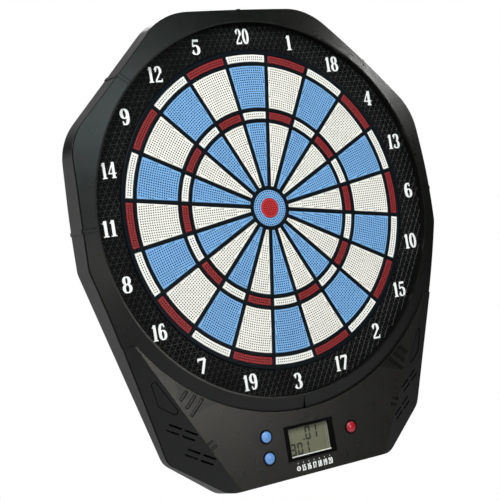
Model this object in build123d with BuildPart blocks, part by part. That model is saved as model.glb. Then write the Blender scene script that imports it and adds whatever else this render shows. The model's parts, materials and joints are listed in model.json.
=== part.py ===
from build123d import *
import os
from math import asin, cos, degrees, radians, sin, tan

# Electronic dartboard that hangs on a wall.
# X runs to the right, Z up, and the front faces -Y. The wall plane is Y = 0, and the
# origin is on that plane, on the axis of the bull. A depth "d" is a distance in front
# of the wall plane, so it stands for Y = -d. Lengths are in millimetres.

os.makedirs("parts", exist_ok=True)

# ---------------------------------------------------------------- general fits
play = 0.3                 # running clearance between pieces
snug = 0.1                 # clearance round a screw shank

# ---------------------------------------------------------------- target
numbers = (20, 1, 18, 4, 13, 6, 10, 15, 2, 17, 3, 19, 7, 16, 8, 11, 14, 9, 12, 5)
bar_gap = 4.4              # space between neighbouring segments, which a spider bar fills
bull_red_r = 10.8          # inner bull
bull_split = 0.5           # space between the inner and the outer bull
bull_bar_r = 22.2          # middle radius of the bar round the bull
treble_in_bar_r = 96.9     # middle radius of the bar inside the treble ring
treble_out_bar_r = 109.2   # middle radius of the bar outside the treble ring
target_r = 170.6           # outer radius of the double ring
double_width = 8.1
double_in_bar_r = target_r - double_width - bar_gap / 2
spider_ring = 4.8          # radial width of the spider's outer ring
segment_length = 20.2
segment_travel = 1.0
lip = 1.2                  # how far a retaining lip stands out
lip_height = 2.0
spider_proud = 0.9         # the bars stand this far in front of the segments
membrane_thickness = 0.5
mat_thickness = 2.0
tail_width = 24.0          # printed tail that joins the membrane to the board
number_ring_thickness = 2.5

# ---------------------------------------------------------------- casing
wall = 2.4                 # side wall of the rear housing
back_wall = 2.5
cover_wall = 2.4           # front surround
seam_gap = 1.2             # groove between the surround and the rear housing
draft = 4.9                # degrees, side walls close towards the front
number_band = 34.4         # from the double ring to the rim
rim_width = 2.0
rim_r = target_r + number_band     # inner radius of the round rim
rim_out_r = rim_r + rim_width
side_margin = 15.5         # from the rim to the side, at the wall plane
side_x = rim_out_r + side_margin
top_z = side_x
console_margin = 14.0
console_r = rim_out_r + console_margin     # the console starts here
console_height = 73.0
bottom_z = -(console_r + console_height)


def wing_point(inward, below):
    """Point of the lower casing, inward from the side and below the console's start."""
    return (side_x - inward, -(console_r + below))


corner_x = side_x * tan(radians(22.5))
shoulder_in = 3.8
top_corner = (corner_x, top_z)
shoulder_corner = (side_x - shoulder_in, corner_x + shoulder_in)
side_bend = (side_x, 12.0)
waist_corner = wing_point(0.0, -181.0)
lower_corner = wing_point(59.5, 27.9)
foot_corner = (105.0, bottom_z)
top_corner_r, shoulder_r, side_bend_r = 70.0, 62.0, 1200.0
waist_r, lower_corner_r, foot_corner_r = 25.0, 20.0, 26.0
joint_rib_width = 4.0      # raised joint lines across the side wall
joint_rib_height = 0.9
joint_rib_clocks = (0.0, 45.0, 90.0, 270.0, 315.0)

rib_thickness = 2.0        # radial ribs that carry the number ring
rim_height = 7.5           # rim in front of the segments
cone_slope = 0.33          # fall of the surround outside the rim
cone_width = 76.0          # the cone reaches past the upper outline
console_drop = 2.3         # console plane behind the rim
wing_top = wing_point(36.5, -99.0)
wing_foot = (92.0, bottom_z + 2.0)
wing_slope = 0.44
locating_lip_thickness = 1.5
locating_lip_height = 4.0

# ---------------------------------------------------------------- controls and electronics
display_centre = (0.0, -(console_r + 34.0))
bezel_size = (62.4, 37.4)
bezel_window = (52.0, 31.0)
bezel_flange = 2.0
bezel_flange_thickness = 1.2
display_size = (58.0, 36.0)
button_x = 54.0
button_places = {"game_button": (-button_x, -(console_r + 20.5)),
                 "option_button": (-button_x, -(console_r + 43.5)),
                 "change_button": (button_x, -(console_r + 31.5))}
button_r = 6.4
button_rise = 2.3          # crown in front of the console
button_edge_rise = 0.5
button_shoulder = (5.2, 1.5)    # radius and rise where the crown turns over to the edge
button_flat_r = 2.6        # nearly flat middle of the crown
button_hole_play = 0.5
button_flange_r = 8.0
button_flange_thickness = 1.6
button_travel = 1.2
pad_thickness = 1.5
pad_dome_r = 4.5
pad_margin = 4.0
board_size = (144.0, 51.0)
board_centre = (0.0, -(console_r + 31.5))
board_thickness = 1.6
board_post_spread = (66.0, 18.0)
board_post_places = [(x, board_centre[1] + z) for x in (-board_post_spread[0], board_post_spread[0])
                     for z in (-board_post_spread[1], board_post_spread[1])]
board_post_size = 6.0

# ---------------------------------------------------------------- vents
vent_length, vent_width = 14.0, 2.0
vent_pitch = (17.4, 6.1)
vent_turn = -31.0
vent_groups = (wing_point(75.1, -3.5), wing_point(91.4, 25.3))

# ---------------------------------------------------------------- shallow marks on the front
mark_depth = 0.5
joint_line_width = 0.5     # pairs of lines along the joints, and one line below the rim
panel_corners = (wing_point(45.5, -73.0), wing_point(55.0, -34.0), wing_point(78.0, -17.0))
panel_corner_r = 2.5
bar_places = {wing_point(81.0, -40.5): 10.7, wing_point(88.0, -32.8): 15.2,
              wing_point(93.9, -26.0): 20.6}
bar_width, bar_turn = 2.4, 43.0
notch_places = (wing_point(102.4, 12.5), wing_point(106.2, 18.1))
notch_length, notch_width, notch_turn = 5.6, 1.4, 22.0
tab_width, tab_top_z = 88.0, -(console_r + 54.0)

# ---------------------------------------------------------------- fasteners and hanging
screw_r = 1.5
screw_head_r = 3.0
screw_head_height = 2.0
screw_length = 13.5
post_r = 4.0
post_split = 10.0          # depth where a housing post meets its surround post
head_sink = 0.8
upper_post_clocks = (-67.0, -19.0, 19.0, 67.0)
post_margin = 11.0         # from the rim to the upper posts
upper_post_r = rim_out_r + post_margin
lower_posts = (wing_point(26.5, -133.0), wing_point(104.5, 45.0))
keyhole_x, keyhole_margin = 60.0, 29.0
keyhole_z = rim_out_r - keyhole_margin
keyhole_head_r = 4.5
keyhole_slot_r = 2.3
keyhole_rise = 8.0
keyhole_pocket_depth = 6.0
keyhole_pocket_wall = 1.5

# ---------------------------------------------------------------- batteries and sounder
cell_r, cell_length, cell_pitch, cell_count = 7.25, 50.5, 15.0, 3
cell_nub_r, cell_nub = 2.7, 1.2
cell_end_space = 2.0
box_wall = 1.6
box_centre = (0.0, -(console_r + 35.0))
door_thickness = 2.0
door_ledge = 2.0
door_margin = 1.0          # the door reaches this far past the battery box
contact_size = 9.0
contact_thickness = 0.5
contact_stud_size = 5.0
sounder_centre = (-wing_point(85.5, 13.0)[0], wing_point(85.5, 13.0)[1])
sounder_r, sounder_height = 16.0, 7.0
sounder_ring_wall, sounder_ring_height = 1.5, 5.0

# ---------------------------------------------------------------- depths that follow
segment_rear = back_wall + membrane_thickness + mat_thickness + segment_travel + play
target_d = segment_rear + segment_length
shoulder_d = segment_rear + lip_height + play
spider_front = target_d + spider_proud
number_ring_rear = target_d - number_ring_thickness
rim_d = target_d + rim_height
console_d = rim_d - console_drop
console_under = console_d - cover_wall
cell_axis_d = door_thickness + play + snug + cell_r
box_ceiling = cell_axis_d + cell_r + play
board_rear = box_ceiling + box_wall + play + snug
board_front = board_rear + board_thickness
block_depth = rim_d + cover_wall
reach = abs(bottom_z) + 46.0       # larger than any radius of the casing
cone_reach = rim_out_r + cone_width
half_bar = bar_gap / 2
wedge_half_angle = 180.0 / len(numbers)
spider_in_r = target_r + play
spider_out_r = spider_in_r + spider_ring
rib_in_r = spider_out_r + play


def board_point(radius, clock):
    """Point on the board at a radius and a clock angle, in degrees from the top."""
    return (radius * sin(radians(clock)), radius * cos(radians(clock)))


def sector(inner_r, outer_r, clock, inset):
    """Sketch a ring sector whose two sides run parallel to the spokes, inset from them."""
    inner_half = wedge_half_angle - degrees(asin(inset / inner_r))
    outer_half = wedge_half_angle - degrees(asin(inset / outer_r))
    with BuildLine() as sides:
        inner = ThreePointArc(board_point(inner_r, clock - inner_half), board_point(inner_r, clock),
                              board_point(inner_r, clock + inner_half))
        outer = ThreePointArc(board_point(outer_r, clock - outer_half), board_point(outer_r, clock),
                              board_point(outer_r, clock + outer_half))
        Line(inner @ 0, outer @ 0)
        Line(inner @ 1, outer @ 1)
    make_face(sides.edges())


def segment(inner_r, outer_r, clock):
    """Add one target segment with a retaining lip along each straight side."""
    with BuildSketch(Plane.XZ.offset(segment_rear)) as lipped:
        sector(inner_r, outer_r, clock, half_bar - lip)
    extrude(lipped.sketch, amount=lip_height)
    with BuildSketch(Plane.XZ.offset(segment_rear)) as plain:
        sector(inner_r, outer_r, clock, half_bar)
    extrude(plain.sketch, amount=segment_length)


def casing_outline(inset):
    """Sketch the casing's outline at the wall plane, moved inwards by inset."""
    with BuildLine() as edge:
        FilletPolyline((0, top_z), top_corner, shoulder_corner, side_bend, waist_corner,
                       lower_corner, foot_corner, (0, bottom_z),
                       radius=[top_corner_r, shoulder_r, side_bend_r, waist_r,
                               lower_corner_r, foot_corner_r])
        mirror(about=Plane.YZ)
    make_face(edge.edges())
    if inset:
        offset(amount=-inset, kind=Kind.INTERSECTION, mode=Mode.REPLACE)


def casing_block(inset, start=0.0):
    """Drafted block inside the casing's outline, from depth start to past the rim."""
    with BuildPart() as block:
        with BuildSketch(Plane.XZ.offset(start)):
            casing_outline(inset + start * tan(radians(draft)))
        extrude(amount=block_depth - start, taper=draft)
    return block.part


def wing_plane(side, drop):
    """Plane of the sloping wing on one side of the console, moved back by drop."""
    along = Vector(side * (wing_foot[0] - wing_top[0]), 0, wing_foot[1] - wing_top[1]).normalized()
    outward = Vector(-side * along.Z * side, 0, side * along.X)
    normal = Vector(side * abs(outward.X) * wing_slope, -1, -abs(outward.Z) * wing_slope)
    return Plane(origin=(side * wing_top[0], -(console_d - drop), wing_top[1]),
                 x_dir=along, z_dir=normal)


def behind_front(drop):
    """Everything behind the casing's front face, with that face moved back by drop."""
    with BuildPart() as behind:
        with BuildSketch(Plane.XZ):
            with BuildLine():
                Polyline((-reach, wing_top[1]), (reach, wing_top[1]),
                         (reach, -reach), (-reach, -reach), close=True)
            make_face()
            Circle(console_r + drop, mode=Mode.SUBTRACT)
        extrude(amount=console_d - drop)
        for side in (-1, 1):
            with BuildSketch(wing_plane(side, drop)):
                Circle(2 * reach)
            extrude(amount=reach, mode=Mode.SUBTRACT)
        with BuildSketch(Plane.XY):
            with BuildLine():
                Polyline((0, 0), (0, drop - rim_d), (rim_out_r, drop - rim_d),
                         (cone_reach, drop - rim_d + cone_slope * (cone_reach - rim_out_r)),
                         (cone_reach, 0), close=True)
            make_face()
        revolve(axis=Axis.Y)
    return behind.part


def joint_ribs():
    """Raised joint lines that run back over the side wall."""
    rise = tan(radians(draft)) * block_depth
    with BuildPart() as ribs:
        for clock in joint_rib_clocks:
            across, up = board_point(1.0, clock)
            on_wall = side_x + joint_rib_height
            root = on_wall - joint_rib_height - wall / 2
            with BuildSketch(Plane(origin=(0, 0, 0), x_dir=(across, 0, up), z_dir=(up, 0, -across))):
                with BuildLine():
                    Polyline((root, 0), (on_wall, 0), (on_wall - rise, block_depth),
                             (root - rise, block_depth), close=True)
                make_face()
            extrude(amount=joint_rib_width / 2, both=True)
    return ribs.part


front_face = behind_front(0.0)
mid_cover = behind_front(cover_wall / 2)
under_cover = behind_front(cover_wall)
under_seam = behind_front(cover_wall + seam_gap)
under_lip = behind_front(cover_wall + locating_lip_height)
mark_floor = behind_front(mark_depth)
outer_block = casing_block(0.0)
housing_cavity = casing_block(wall, back_wall)
lip_outside = casing_block(wall + play)
lip_inside = casing_block(wall + play + locating_lip_thickness)
ribs = joint_ribs()

upper_posts = [board_point(upper_post_r, clock) for clock in upper_post_clocks]
mirrored_posts = [(side * x, z) for x, z in lower_posts for side in (-1, 1)]
post_places = upper_posts + mirrored_posts

# ---------------------------------------------------------------- rear housing
box_inner = (cell_length + 2 * cell_end_space, cell_pitch * cell_count + snug)
box_outer = (box_inner[0] + 2 * box_wall, box_inner[1] + 2 * box_wall)
door_size = (box_outer[0] + 2 * door_margin, box_outer[1] + 2 * door_margin)
door_hole = (door_size[0] + 2 * play, door_size[1] + 2 * play)

with BuildPart() as rear_housing:
    add(outer_block)
    add(housing_cavity, mode=Mode.SUBTRACT)
    add(ribs)
    add(under_seam, mode=Mode.INTERSECT)
    # radial ribs that carry the number ring
    with BuildSketch(Plane.XZ.offset(back_wall)):
        for clock in range(len(numbers)):
            rib_middle = board_point((rib_in_r + rim_out_r) / 2, (2 * clock + 1) * wedge_half_angle)
            with Locations(Location(rib_middle + (0,), (0, 0, -(2 * clock + 1) * wedge_half_angle))):
                Rectangle(rib_thickness, rim_out_r - rib_in_r)
    extrude(amount=number_ring_rear - back_wall)
    # screw posts
    with BuildSketch(Plane.XZ):
        with Locations(*post_places):
            Circle(post_r)
    extrude(amount=post_split)
    # posts under the circuit board
    with BuildSketch(Plane.XZ):
        with Locations(*board_post_places):
            Rectangle(board_post_size, board_post_size)
    extrude(amount=board_rear)
    # battery box with a ledge for its door
    with BuildSketch(Plane.XZ):
        with Locations(box_centre):
            Rectangle(door_hole[0] + 2 * door_ledge, door_hole[1] + 2 * door_ledge)
    extrude(amount=door_thickness + play + door_ledge)
    with BuildSketch(Plane.XZ):
        with Locations(box_centre):
            Rectangle(*box_outer)
    extrude(amount=box_ceiling + box_wall)
    # ring that holds the sounder
    with BuildSketch(Plane.XZ):
        with Locations(sounder_centre):
            Circle(sounder_r + play + sounder_ring_wall)
            Circle(sounder_r + play, mode=Mode.SUBTRACT)
    extrude(amount=back_wall + sounder_ring_height)
    # closed pockets in front of the hanging keyholes
    with BuildSketch(Plane.XZ):
        with Locations((-keyhole_x, keyhole_z + keyhole_rise / 2), (keyhole_x, keyhole_z + keyhole_rise / 2)):
            Rectangle(2 * (keyhole_head_r + play + keyhole_pocket_wall),
                      keyhole_rise + 2 * (keyhole_head_r + keyhole_pocket_wall))
    extrude(amount=back_wall + keyhole_pocket_depth + keyhole_pocket_wall)
    # cavities
    with BuildSketch(Plane.XZ):
        with Locations(box_centre):
            Rectangle(*door_hole)
    extrude(amount=door_thickness + play, mode=Mode.SUBTRACT)
    with BuildSketch(Plane.XZ):
        with Locations(box_centre):
            Rectangle(*box_inner)
    extrude(amount=box_ceiling, mode=Mode.SUBTRACT)
    with BuildSketch(Plane.XZ.offset(back_wall)):
        with Locations((-keyhole_x, keyhole_z + keyhole_rise / 2), (keyhole_x, keyhole_z + keyhole_rise / 2)):
            Rectangle(2 * (keyhole_head_r + play), keyhole_rise + 2 * keyhole_head_r)
    extrude(amount=keyhole_pocket_depth, mode=Mode.SUBTRACT)
    with BuildSketch(Plane.XZ):
        for side in (-1, 1):
            with Locations((side * keyhole_x, keyhole_z)):
                Circle(keyhole_head_r)
            with Locations((side * keyhole_x, keyhole_z + keyhole_rise / 2)):
                Rectangle(2 * keyhole_slot_r, keyhole_rise)
            with Locations((side * keyhole_x, keyhole_z + keyhole_rise)):
                Circle(keyhole_slot_r)
    extrude(amount=back_wall, mode=Mode.SUBTRACT)
    # screw holes, counterbored from behind
    with BuildSketch(Plane.XZ):
        with Locations(*post_places):
            Circle(screw_r + snug)
    extrude(amount=post_split, mode=Mode.SUBTRACT)
    with BuildSketch(Plane.XZ):
        with Locations(*post_places):
            Circle(screw_head_r + snug)
    extrude(amount=head_sink + screw_head_height, mode=Mode.SUBTRACT)
rear_housing.part.label = "rear_housing"
export_step(rear_housing.part, "parts/rear_housing.step")

# ---------------------------------------------------------------- front surround
with BuildPart() as surround_posts:
    with BuildSketch(Plane.XZ.offset(post_split)):
        with Locations(*post_places):
            Circle(post_r)
    extrude(amount=block_depth)
    add(mid_cover, mode=Mode.INTERSECT)
    with BuildSketch(Plane.XZ.offset(post_split)):
        with Locations(*post_places):
            Circle(screw_r + snug)
    extrude(amount=head_sink + screw_head_height + screw_length + play - post_split, mode=Mode.SUBTRACT)

with BuildPart() as locating_lip:
    add(lip_outside)
    add(lip_inside, mode=Mode.SUBTRACT)
    add(mid_cover, mode=Mode.INTERSECT)
    add(under_lip, mode=Mode.SUBTRACT)

with BuildPart() as front_marks:
    with BuildSketch(Plane.XZ):
        # two lines along each raised joint
        for clock in joint_rib_clocks:
            with Locations(Location((0, 0, 0), (0, 0, -clock))):
                with Locations((-joint_rib_width / 2, (rim_out_r + reach) / 2),
                               (joint_rib_width / 2, (rim_out_r + reach) / 2)):
                    Rectangle(joint_line_width, reach - rim_out_r)
        # line between the rim and the console
        with Locations((0, -rim_out_r)):
            Rectangle(joint_line_width, console_r - rim_out_r, align=(Align.CENTER, Align.MAX))
        # tab below the display
        with Locations((0, tab_top_z)):
            Rectangle(tab_width, reach, align=(Align.CENTER, Align.MAX))
        # bars and notches on the console
        for side in (-1, 1):
            for (x, z), length in bar_places.items():
                with Locations(Location((side * x, z, 0), (0, 0, -side * bar_turn))):
                    Rectangle(length, bar_width)
            for x, z in notch_places:
                with Locations(Location((side * x, z, 0), (0, 0, -side * notch_turn))):
                    Rectangle(notch_length, notch_width)
    extrude(amount=block_depth)
    # sunk panel on each wing
    with BuildSketch(Plane.XZ):
        for side in (-1, 1):
            with BuildLine() as panel_edge:
                FilletPolyline([(side * x, z) for x, z in panel_corners], radius=panel_corner_r, close=True)
            make_face(panel_edge.edges())
    extrude(amount=block_depth)
    add(mark_floor, mode=Mode.SUBTRACT)

with BuildPart() as front_surround:
    add(outer_block)
    add(ribs)
    add(front_face, mode=Mode.INTERSECT)
    add(under_cover, mode=Mode.SUBTRACT)
    add(locating_lip.part)
    add(surround_posts.part)
    with BuildSketch(Plane.XZ.offset(target_d)):
        Circle(rim_out_r)
    extrude(amount=rim_height)
    with BuildSketch(Plane.XZ):
        Circle(rim_r)
    extrude(amount=block_depth, mode=Mode.SUBTRACT)
    # openings for the display and the buttons
    with BuildSketch(Plane.XZ):
        with Locations(display_centre):
            Rectangle(bezel_size[0] + 2 * play, bezel_size[1] + 2 * play)
        with Locations(*button_places.values()):
            Circle(button_r + button_hole_play)
    extrude(amount=block_depth, mode=Mode.SUBTRACT)
    # vents in both wings
    with BuildSketch(Plane.XZ):
        for side in (-1, 1):
            for x, z in vent_groups:
                with Locations(Location((side * x, z, 0), (0, 0, -side * vent_turn))):
                    with GridLocations(vent_pitch[0], vent_pitch[1], 2, 2):
                        Rectangle(vent_length, vent_width)
    extrude(amount=block_depth, mode=Mode.SUBTRACT)
    add(front_marks.part, mode=Mode.SUBTRACT)
front_surround.part.label = "front_surround"
export_step(front_surround.part, "parts/front_surround.step")

# ---------------------------------------------------------------- number ring
with BuildPart() as number_ring:
    with BuildSketch(Plane.XZ.offset(number_ring_rear)):
        Circle(rim_out_r)
        Circle(rib_in_r, mode=Mode.SUBTRACT)
    extrude(amount=number_ring_thickness)
number_ring.part.label = "number_ring"
export_step(number_ring.part, "parts/number_ring.step")

# ---------------------------------------------------------------- spider
ring_spans = ((bull_bar_r + half_bar, treble_in_bar_r - half_bar),
              (treble_in_bar_r + half_bar, treble_out_bar_r - half_bar),
              (treble_out_bar_r + half_bar, double_in_bar_r - half_bar),
              (double_in_bar_r + half_bar, target_r))
bull_blue_r = bull_bar_r - half_bar

with BuildPart() as spider:
    with BuildSketch(Plane.XZ.offset(shoulder_d)):
        Circle(spider_out_r)
        Circle(bull_blue_r + play, mode=Mode.SUBTRACT)
    extrude(amount=spider_front - shoulder_d)
    with BuildSketch(Plane.XZ.offset(shoulder_d)):
        for place in range(len(numbers)):
            for inner_r, outer_r in ring_spans:
                sector(inner_r - play, outer_r + play, place * 2 * wedge_half_angle, half_bar - play)
    extrude(amount=spider_front - shoulder_d, mode=Mode.SUBTRACT)
    # foot of the outer ring, which stands on the back wall
    with BuildSketch(Plane.XZ.offset(back_wall)):
        Circle(spider_out_r)
        Circle(spider_in_r, mode=Mode.SUBTRACT)
    extrude(amount=shoulder_d - back_wall)
    with BuildSketch(Plane.XZ.offset(back_wall)):
        with Locations((0, -target_r)):
            Rectangle(tail_width + 2 * play, target_r)
    extrude(amount=membrane_thickness + play, mode=Mode.SUBTRACT)
spider.part.label = "spider"
export_step(spider.part, "parts/spider.step")

# ---------------------------------------------------------------- target segments
for place, number in enumerate(numbers):
    clock = place * 2 * wedge_half_angle
    with BuildPart() as singles:
        segment(*ring_spans[0], clock)
        segment(*ring_spans[2], clock)
    singles.part.label = f"singles_{number:02d}"
    export_step(singles.part, f"parts/singles_{number:02d}.step")
    with BuildPart() as double_treble:
        segment(*ring_spans[1], clock)
        segment(*ring_spans[3], clock)
    double_treble.part.label = f"double_treble_{number:02d}"
    export_step(double_treble.part, f"parts/double_treble_{number:02d}.step")

bull_hole_r = bull_red_r + bull_split
with BuildPart() as outer_bull:
    with BuildSketch(Plane.XZ.offset(segment_rear)):
        Circle(bull_blue_r + lip)
    extrude(amount=lip_height)
    with BuildSketch(Plane.XZ.offset(segment_rear)):
        Circle(bull_blue_r)
    extrude(amount=segment_length)
    with BuildSketch(Plane.XZ.offset(segment_rear)):
        Circle(bull_hole_r)
    extrude(amount=segment_length, mode=Mode.SUBTRACT)
    # recess that clears the inner bull's lip while the outer bull is pressed
    with BuildSketch(Plane.XZ.offset(segment_rear)):
        Circle(bull_hole_r + lip)
    extrude(amount=lip_height + segment_travel + play, mode=Mode.SUBTRACT)
outer_bull.part.label = "outer_bull"
export_step(outer_bull.part, "parts/outer_bull.step")

with BuildPart() as inner_bull:
    with BuildSketch(Plane.XZ.offset(segment_rear)):
        Circle(bull_red_r + lip)
    extrude(amount=lip_height)
    with BuildSketch(Plane.XZ.offset(segment_rear)):
        Circle(bull_red_r)
    extrude(amount=segment_length)
inner_bull.part.label = "inner_bull"
export_step(inner_bull.part, "parts/inner_bull.step")

# ---------------------------------------------------------------- sensor mat and membrane
mat_r = spider_in_r - play
with BuildPart() as rubber_mat:
    with BuildSketch(Plane.XZ.offset(back_wall + membrane_thickness)):
        Circle(mat_r)
    extrude(amount=mat_thickness)
rubber_mat.part.label = "rubber_mat"
export_step(rubber_mat.part, "parts/rubber_mat.step")

tail_end_z = box_centre[1] + door_hole[1] / 2 + door_ledge + play
with BuildPart() as switch_membrane:
    with BuildSketch(Plane.XZ.offset(back_wall)):
        Circle(mat_r)
        with Locations((0, tail_end_z)):
            Rectangle(tail_width, abs(tail_end_z), align=(Align.CENTER, Align.MIN))
    extrude(amount=membrane_thickness)
    with BuildSketch(Plane.XZ.offset(back_wall)):
        with Locations((0, tail_end_z)):
            Rectangle(tail_width, membrane_thickness, align=(Align.CENTER, Align.MIN))
    extrude(amount=board_rear - back_wall)
switch_membrane.part.label = "switch_membrane"
export_step(switch_membrane.part, "parts/switch_membrane.step")

# ---------------------------------------------------------------- circuit board and display
with BuildPart() as circuit_board:
    with BuildSketch(Plane.XZ.offset(board_rear)):
        with Locations(board_centre):
            Rectangle(*board_size)
    extrude(amount=board_thickness)
circuit_board.part.label = "circuit_board"
export_step(circuit_board.part, "parts/circuit_board.step")

display_front = console_under - bezel_flange_thickness - play
with BuildPart() as lcd_module:
    with BuildSketch(Plane.XZ.offset(board_front)):
        with Locations(display_centre):
            Rectangle(*display_size)
    extrude(amount=display_front - board_front)
    chamfer(lcd_module.faces().sort_by(Axis.Y)[0].edges(), length=play)
lcd_module.part.label = "lcd_module"
export_step(lcd_module.part, "parts/lcd_module.step")

with BuildPart() as lcd_bezel:
    with BuildSketch(Plane.XZ.offset(console_under - bezel_flange_thickness)):
        with Locations(display_centre):
            Rectangle(bezel_size[0] + 2 * bezel_flange, bezel_size[1] + 2 * bezel_flange)
    extrude(amount=bezel_flange_thickness)
    with BuildSketch(Plane.XZ.offset(console_under)):
        with Locations(display_centre):
            Rectangle(*bezel_size)
    extrude(amount=cover_wall)
    with BuildSketch(Plane.XZ.offset(console_under - bezel_flange_thickness)):
        with Locations(display_centre):
            Rectangle(*bezel_window)
    extrude(amount=cover_wall + bezel_flange_thickness, mode=Mode.SUBTRACT)
lcd_bezel.part.label = "lcd_bezel"
export_step(lcd_bezel.part, "parts/lcd_bezel.step")

# ---------------------------------------------------------------- buttons
flange_front = console_under - play
flange_rear = flange_front - button_flange_thickness
button_edge = console_d + button_edge_rise
for name, place in button_places.items():
    with BuildPart() as button:
        with BuildSketch(Plane.XZ.offset(flange_rear)):
            with Locations(place):
                Circle(button_flange_r)
        extrude(amount=button_flange_thickness)
        with BuildSketch(Plane.XZ.offset(flange_rear)):
            with Locations(place):
                Circle(button_r)
        extrude(amount=button_edge - flange_rear)
        # crown, in two slopes round a flat middle
        with BuildSketch(Plane(origin=(place[0], 0, place[1]), x_dir=(1, 0, 0), z_dir=(0, 0, 1))):
            with BuildLine():
                Polyline((0, -button_edge), (0, -(console_d + button_rise)),
                         (button_flat_r, -(console_d + button_rise)),
                         (button_shoulder[0], -(console_d + button_shoulder[1])),
                         (button_r, -button_edge), close=True)
            make_face()
        revolve(axis=Axis((place[0], 0, place[1]), (0, 1, 0)))
    button.part.label = name
    export_step(button.part, f"parts/{name}.step")

pad_dome_front = flange_rear - button_travel - play
with BuildPart() as button_pad:
    for side in (-1, 1):
        places = [place for place in button_places.values() if place[0] * side > 0]
        low = min(z for x, z in places) - button_flange_r - pad_margin
        high = max(z for x, z in places) + button_flange_r + pad_margin
        with BuildSketch(Plane.XZ.offset(board_front)):
            with Locations((places[0][0], (low + high) / 2)):
                Rectangle(2 * button_flange_r + pad_margin, high - low)
        extrude(amount=pad_thickness)
        with BuildSketch(Plane.XZ.offset(board_front)):
            with Locations(*places):
                Circle(pad_dome_r)
        extrude(amount=pad_dome_front - board_front)
button_pad.part.label = "button_pad"
export_step(button_pad.part, "parts/button_pad.step")

# ---------------------------------------------------------------- sounder
with BuildPart() as sounder:
    with BuildSketch(Plane.XZ.offset(back_wall)):
        with Locations(sounder_centre):
            Circle(sounder_r)
    extrude(amount=sounder_height)
sounder.part.label = "sounder"
export_step(sounder.part, "parts/sounder.step")

# ---------------------------------------------------------------- batteries
cell_rows = [box_centre[1] + cell_pitch * (row - (cell_count - 1) / 2) for row in range(cell_count)]
with BuildPart() as battery_cells:
    for row, z in enumerate(cell_rows):
        heading = 1 if row % 2 == 0 else -1
        tail_plane = Plane(origin=(-heading * cell_length / 2, -cell_axis_d, z), z_dir=(heading, 0, 0))
        with BuildSketch(tail_plane):
            Circle(cell_r)
        extrude(amount=cell_length - cell_nub)
        with BuildSketch(tail_plane):
            Circle(cell_nub_r)
        extrude(amount=cell_length)
battery_cells.part.label = "battery_cells"
export_step(battery_cells.part, "parts/battery_cells.step")

with BuildPart() as battery_contacts:
    for side in (-1, 1):
        for z in cell_rows:
            on_wall = Plane(origin=(side * box_inner[0] / 2, -cell_axis_d, z), z_dir=(-side, 0, 0))
            with BuildSketch(on_wall):
                Rectangle(contact_size, contact_size)
            extrude(amount=contact_thickness)
            with BuildSketch(on_wall):
                Rectangle(contact_stud_size, contact_stud_size)
            extrude(amount=cell_end_space - play)
battery_contacts.part.label = "battery_contacts"
export_step(battery_contacts.part, "parts/battery_contacts.step")

with BuildPart() as battery_door:
    with BuildSketch(Plane.XZ):
        with Locations(box_centre):
            Rectangle(*door_size)
    extrude(amount=door_thickness)
battery_door.part.label = "battery_door"
export_step(battery_door.part, "parts/battery_door.step")

# ---------------------------------------------------------------- housing screws
with BuildPart() as housing_screws:
    with BuildSketch(Plane.XZ.offset(head_sink)):
        with Locations(*post_places):
            Circle(screw_head_r)
    extrude(amount=screw_head_height)
    with BuildSketch(Plane.XZ.offset(head_sink)):
        with Locations(*post_places):
            Circle(screw_r)
    extrude(amount=screw_head_height + screw_length)
housing_screws.part.label = "housing_screws"
export_step(housing_screws.part, "parts/housing_screws.step")
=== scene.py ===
"""Looks of a wall-hung electronic dartboard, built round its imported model.

X runs to the right, Z up and the front faces -Y. The wall plane is Y = 0 and the origin lies on
that plane, on the axis of the bull. Shapes are worked out in millimetres as arrays of (x, d, z),
where the depth d is the distance in front of the wall, and become metres when a mesh is made.
"""

import json
import logging
import math
from dataclasses import dataclass, field
from enum import Enum
from itertools import chain
from typing import Callable

import bmesh
import bpy
import numpy as np
from mathutils import Matrix, Vector
from mathutils.geometry import delaunay_2d_cdt

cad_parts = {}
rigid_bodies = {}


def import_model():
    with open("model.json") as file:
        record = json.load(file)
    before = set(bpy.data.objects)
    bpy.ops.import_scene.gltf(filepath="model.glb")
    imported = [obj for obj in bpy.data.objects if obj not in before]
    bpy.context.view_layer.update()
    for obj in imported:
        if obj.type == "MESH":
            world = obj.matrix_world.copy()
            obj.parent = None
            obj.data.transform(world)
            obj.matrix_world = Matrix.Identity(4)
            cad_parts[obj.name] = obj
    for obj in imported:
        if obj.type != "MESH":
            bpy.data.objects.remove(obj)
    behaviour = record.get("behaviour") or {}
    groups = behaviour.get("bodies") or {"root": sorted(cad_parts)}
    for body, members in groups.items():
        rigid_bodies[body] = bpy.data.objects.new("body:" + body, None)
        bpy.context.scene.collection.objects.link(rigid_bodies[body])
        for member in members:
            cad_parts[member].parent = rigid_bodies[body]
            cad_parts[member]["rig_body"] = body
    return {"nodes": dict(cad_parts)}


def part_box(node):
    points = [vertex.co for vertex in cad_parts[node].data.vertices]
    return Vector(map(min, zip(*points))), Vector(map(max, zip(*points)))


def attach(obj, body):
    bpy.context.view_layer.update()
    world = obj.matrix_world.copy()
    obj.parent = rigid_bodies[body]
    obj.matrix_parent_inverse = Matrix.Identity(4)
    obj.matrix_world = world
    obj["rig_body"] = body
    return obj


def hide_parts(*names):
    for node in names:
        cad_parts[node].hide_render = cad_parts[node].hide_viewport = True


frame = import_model()

LOG = logging.getLogger("dartboard")
CASING = "casing"
MM = 0.001
NUMBERS = (20, 1, 18, 4, 13, 6, 10, 15, 2, 17, 3, 19, 7, 16, 8, 11, 14, 9, 12, 5)
BLUE_NUMBERS = frozenset((20, 18, 13, 10, 2, 3, 7, 8, 14, 12))
WEDGE = 360.0 / len(NUMBERS)


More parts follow.
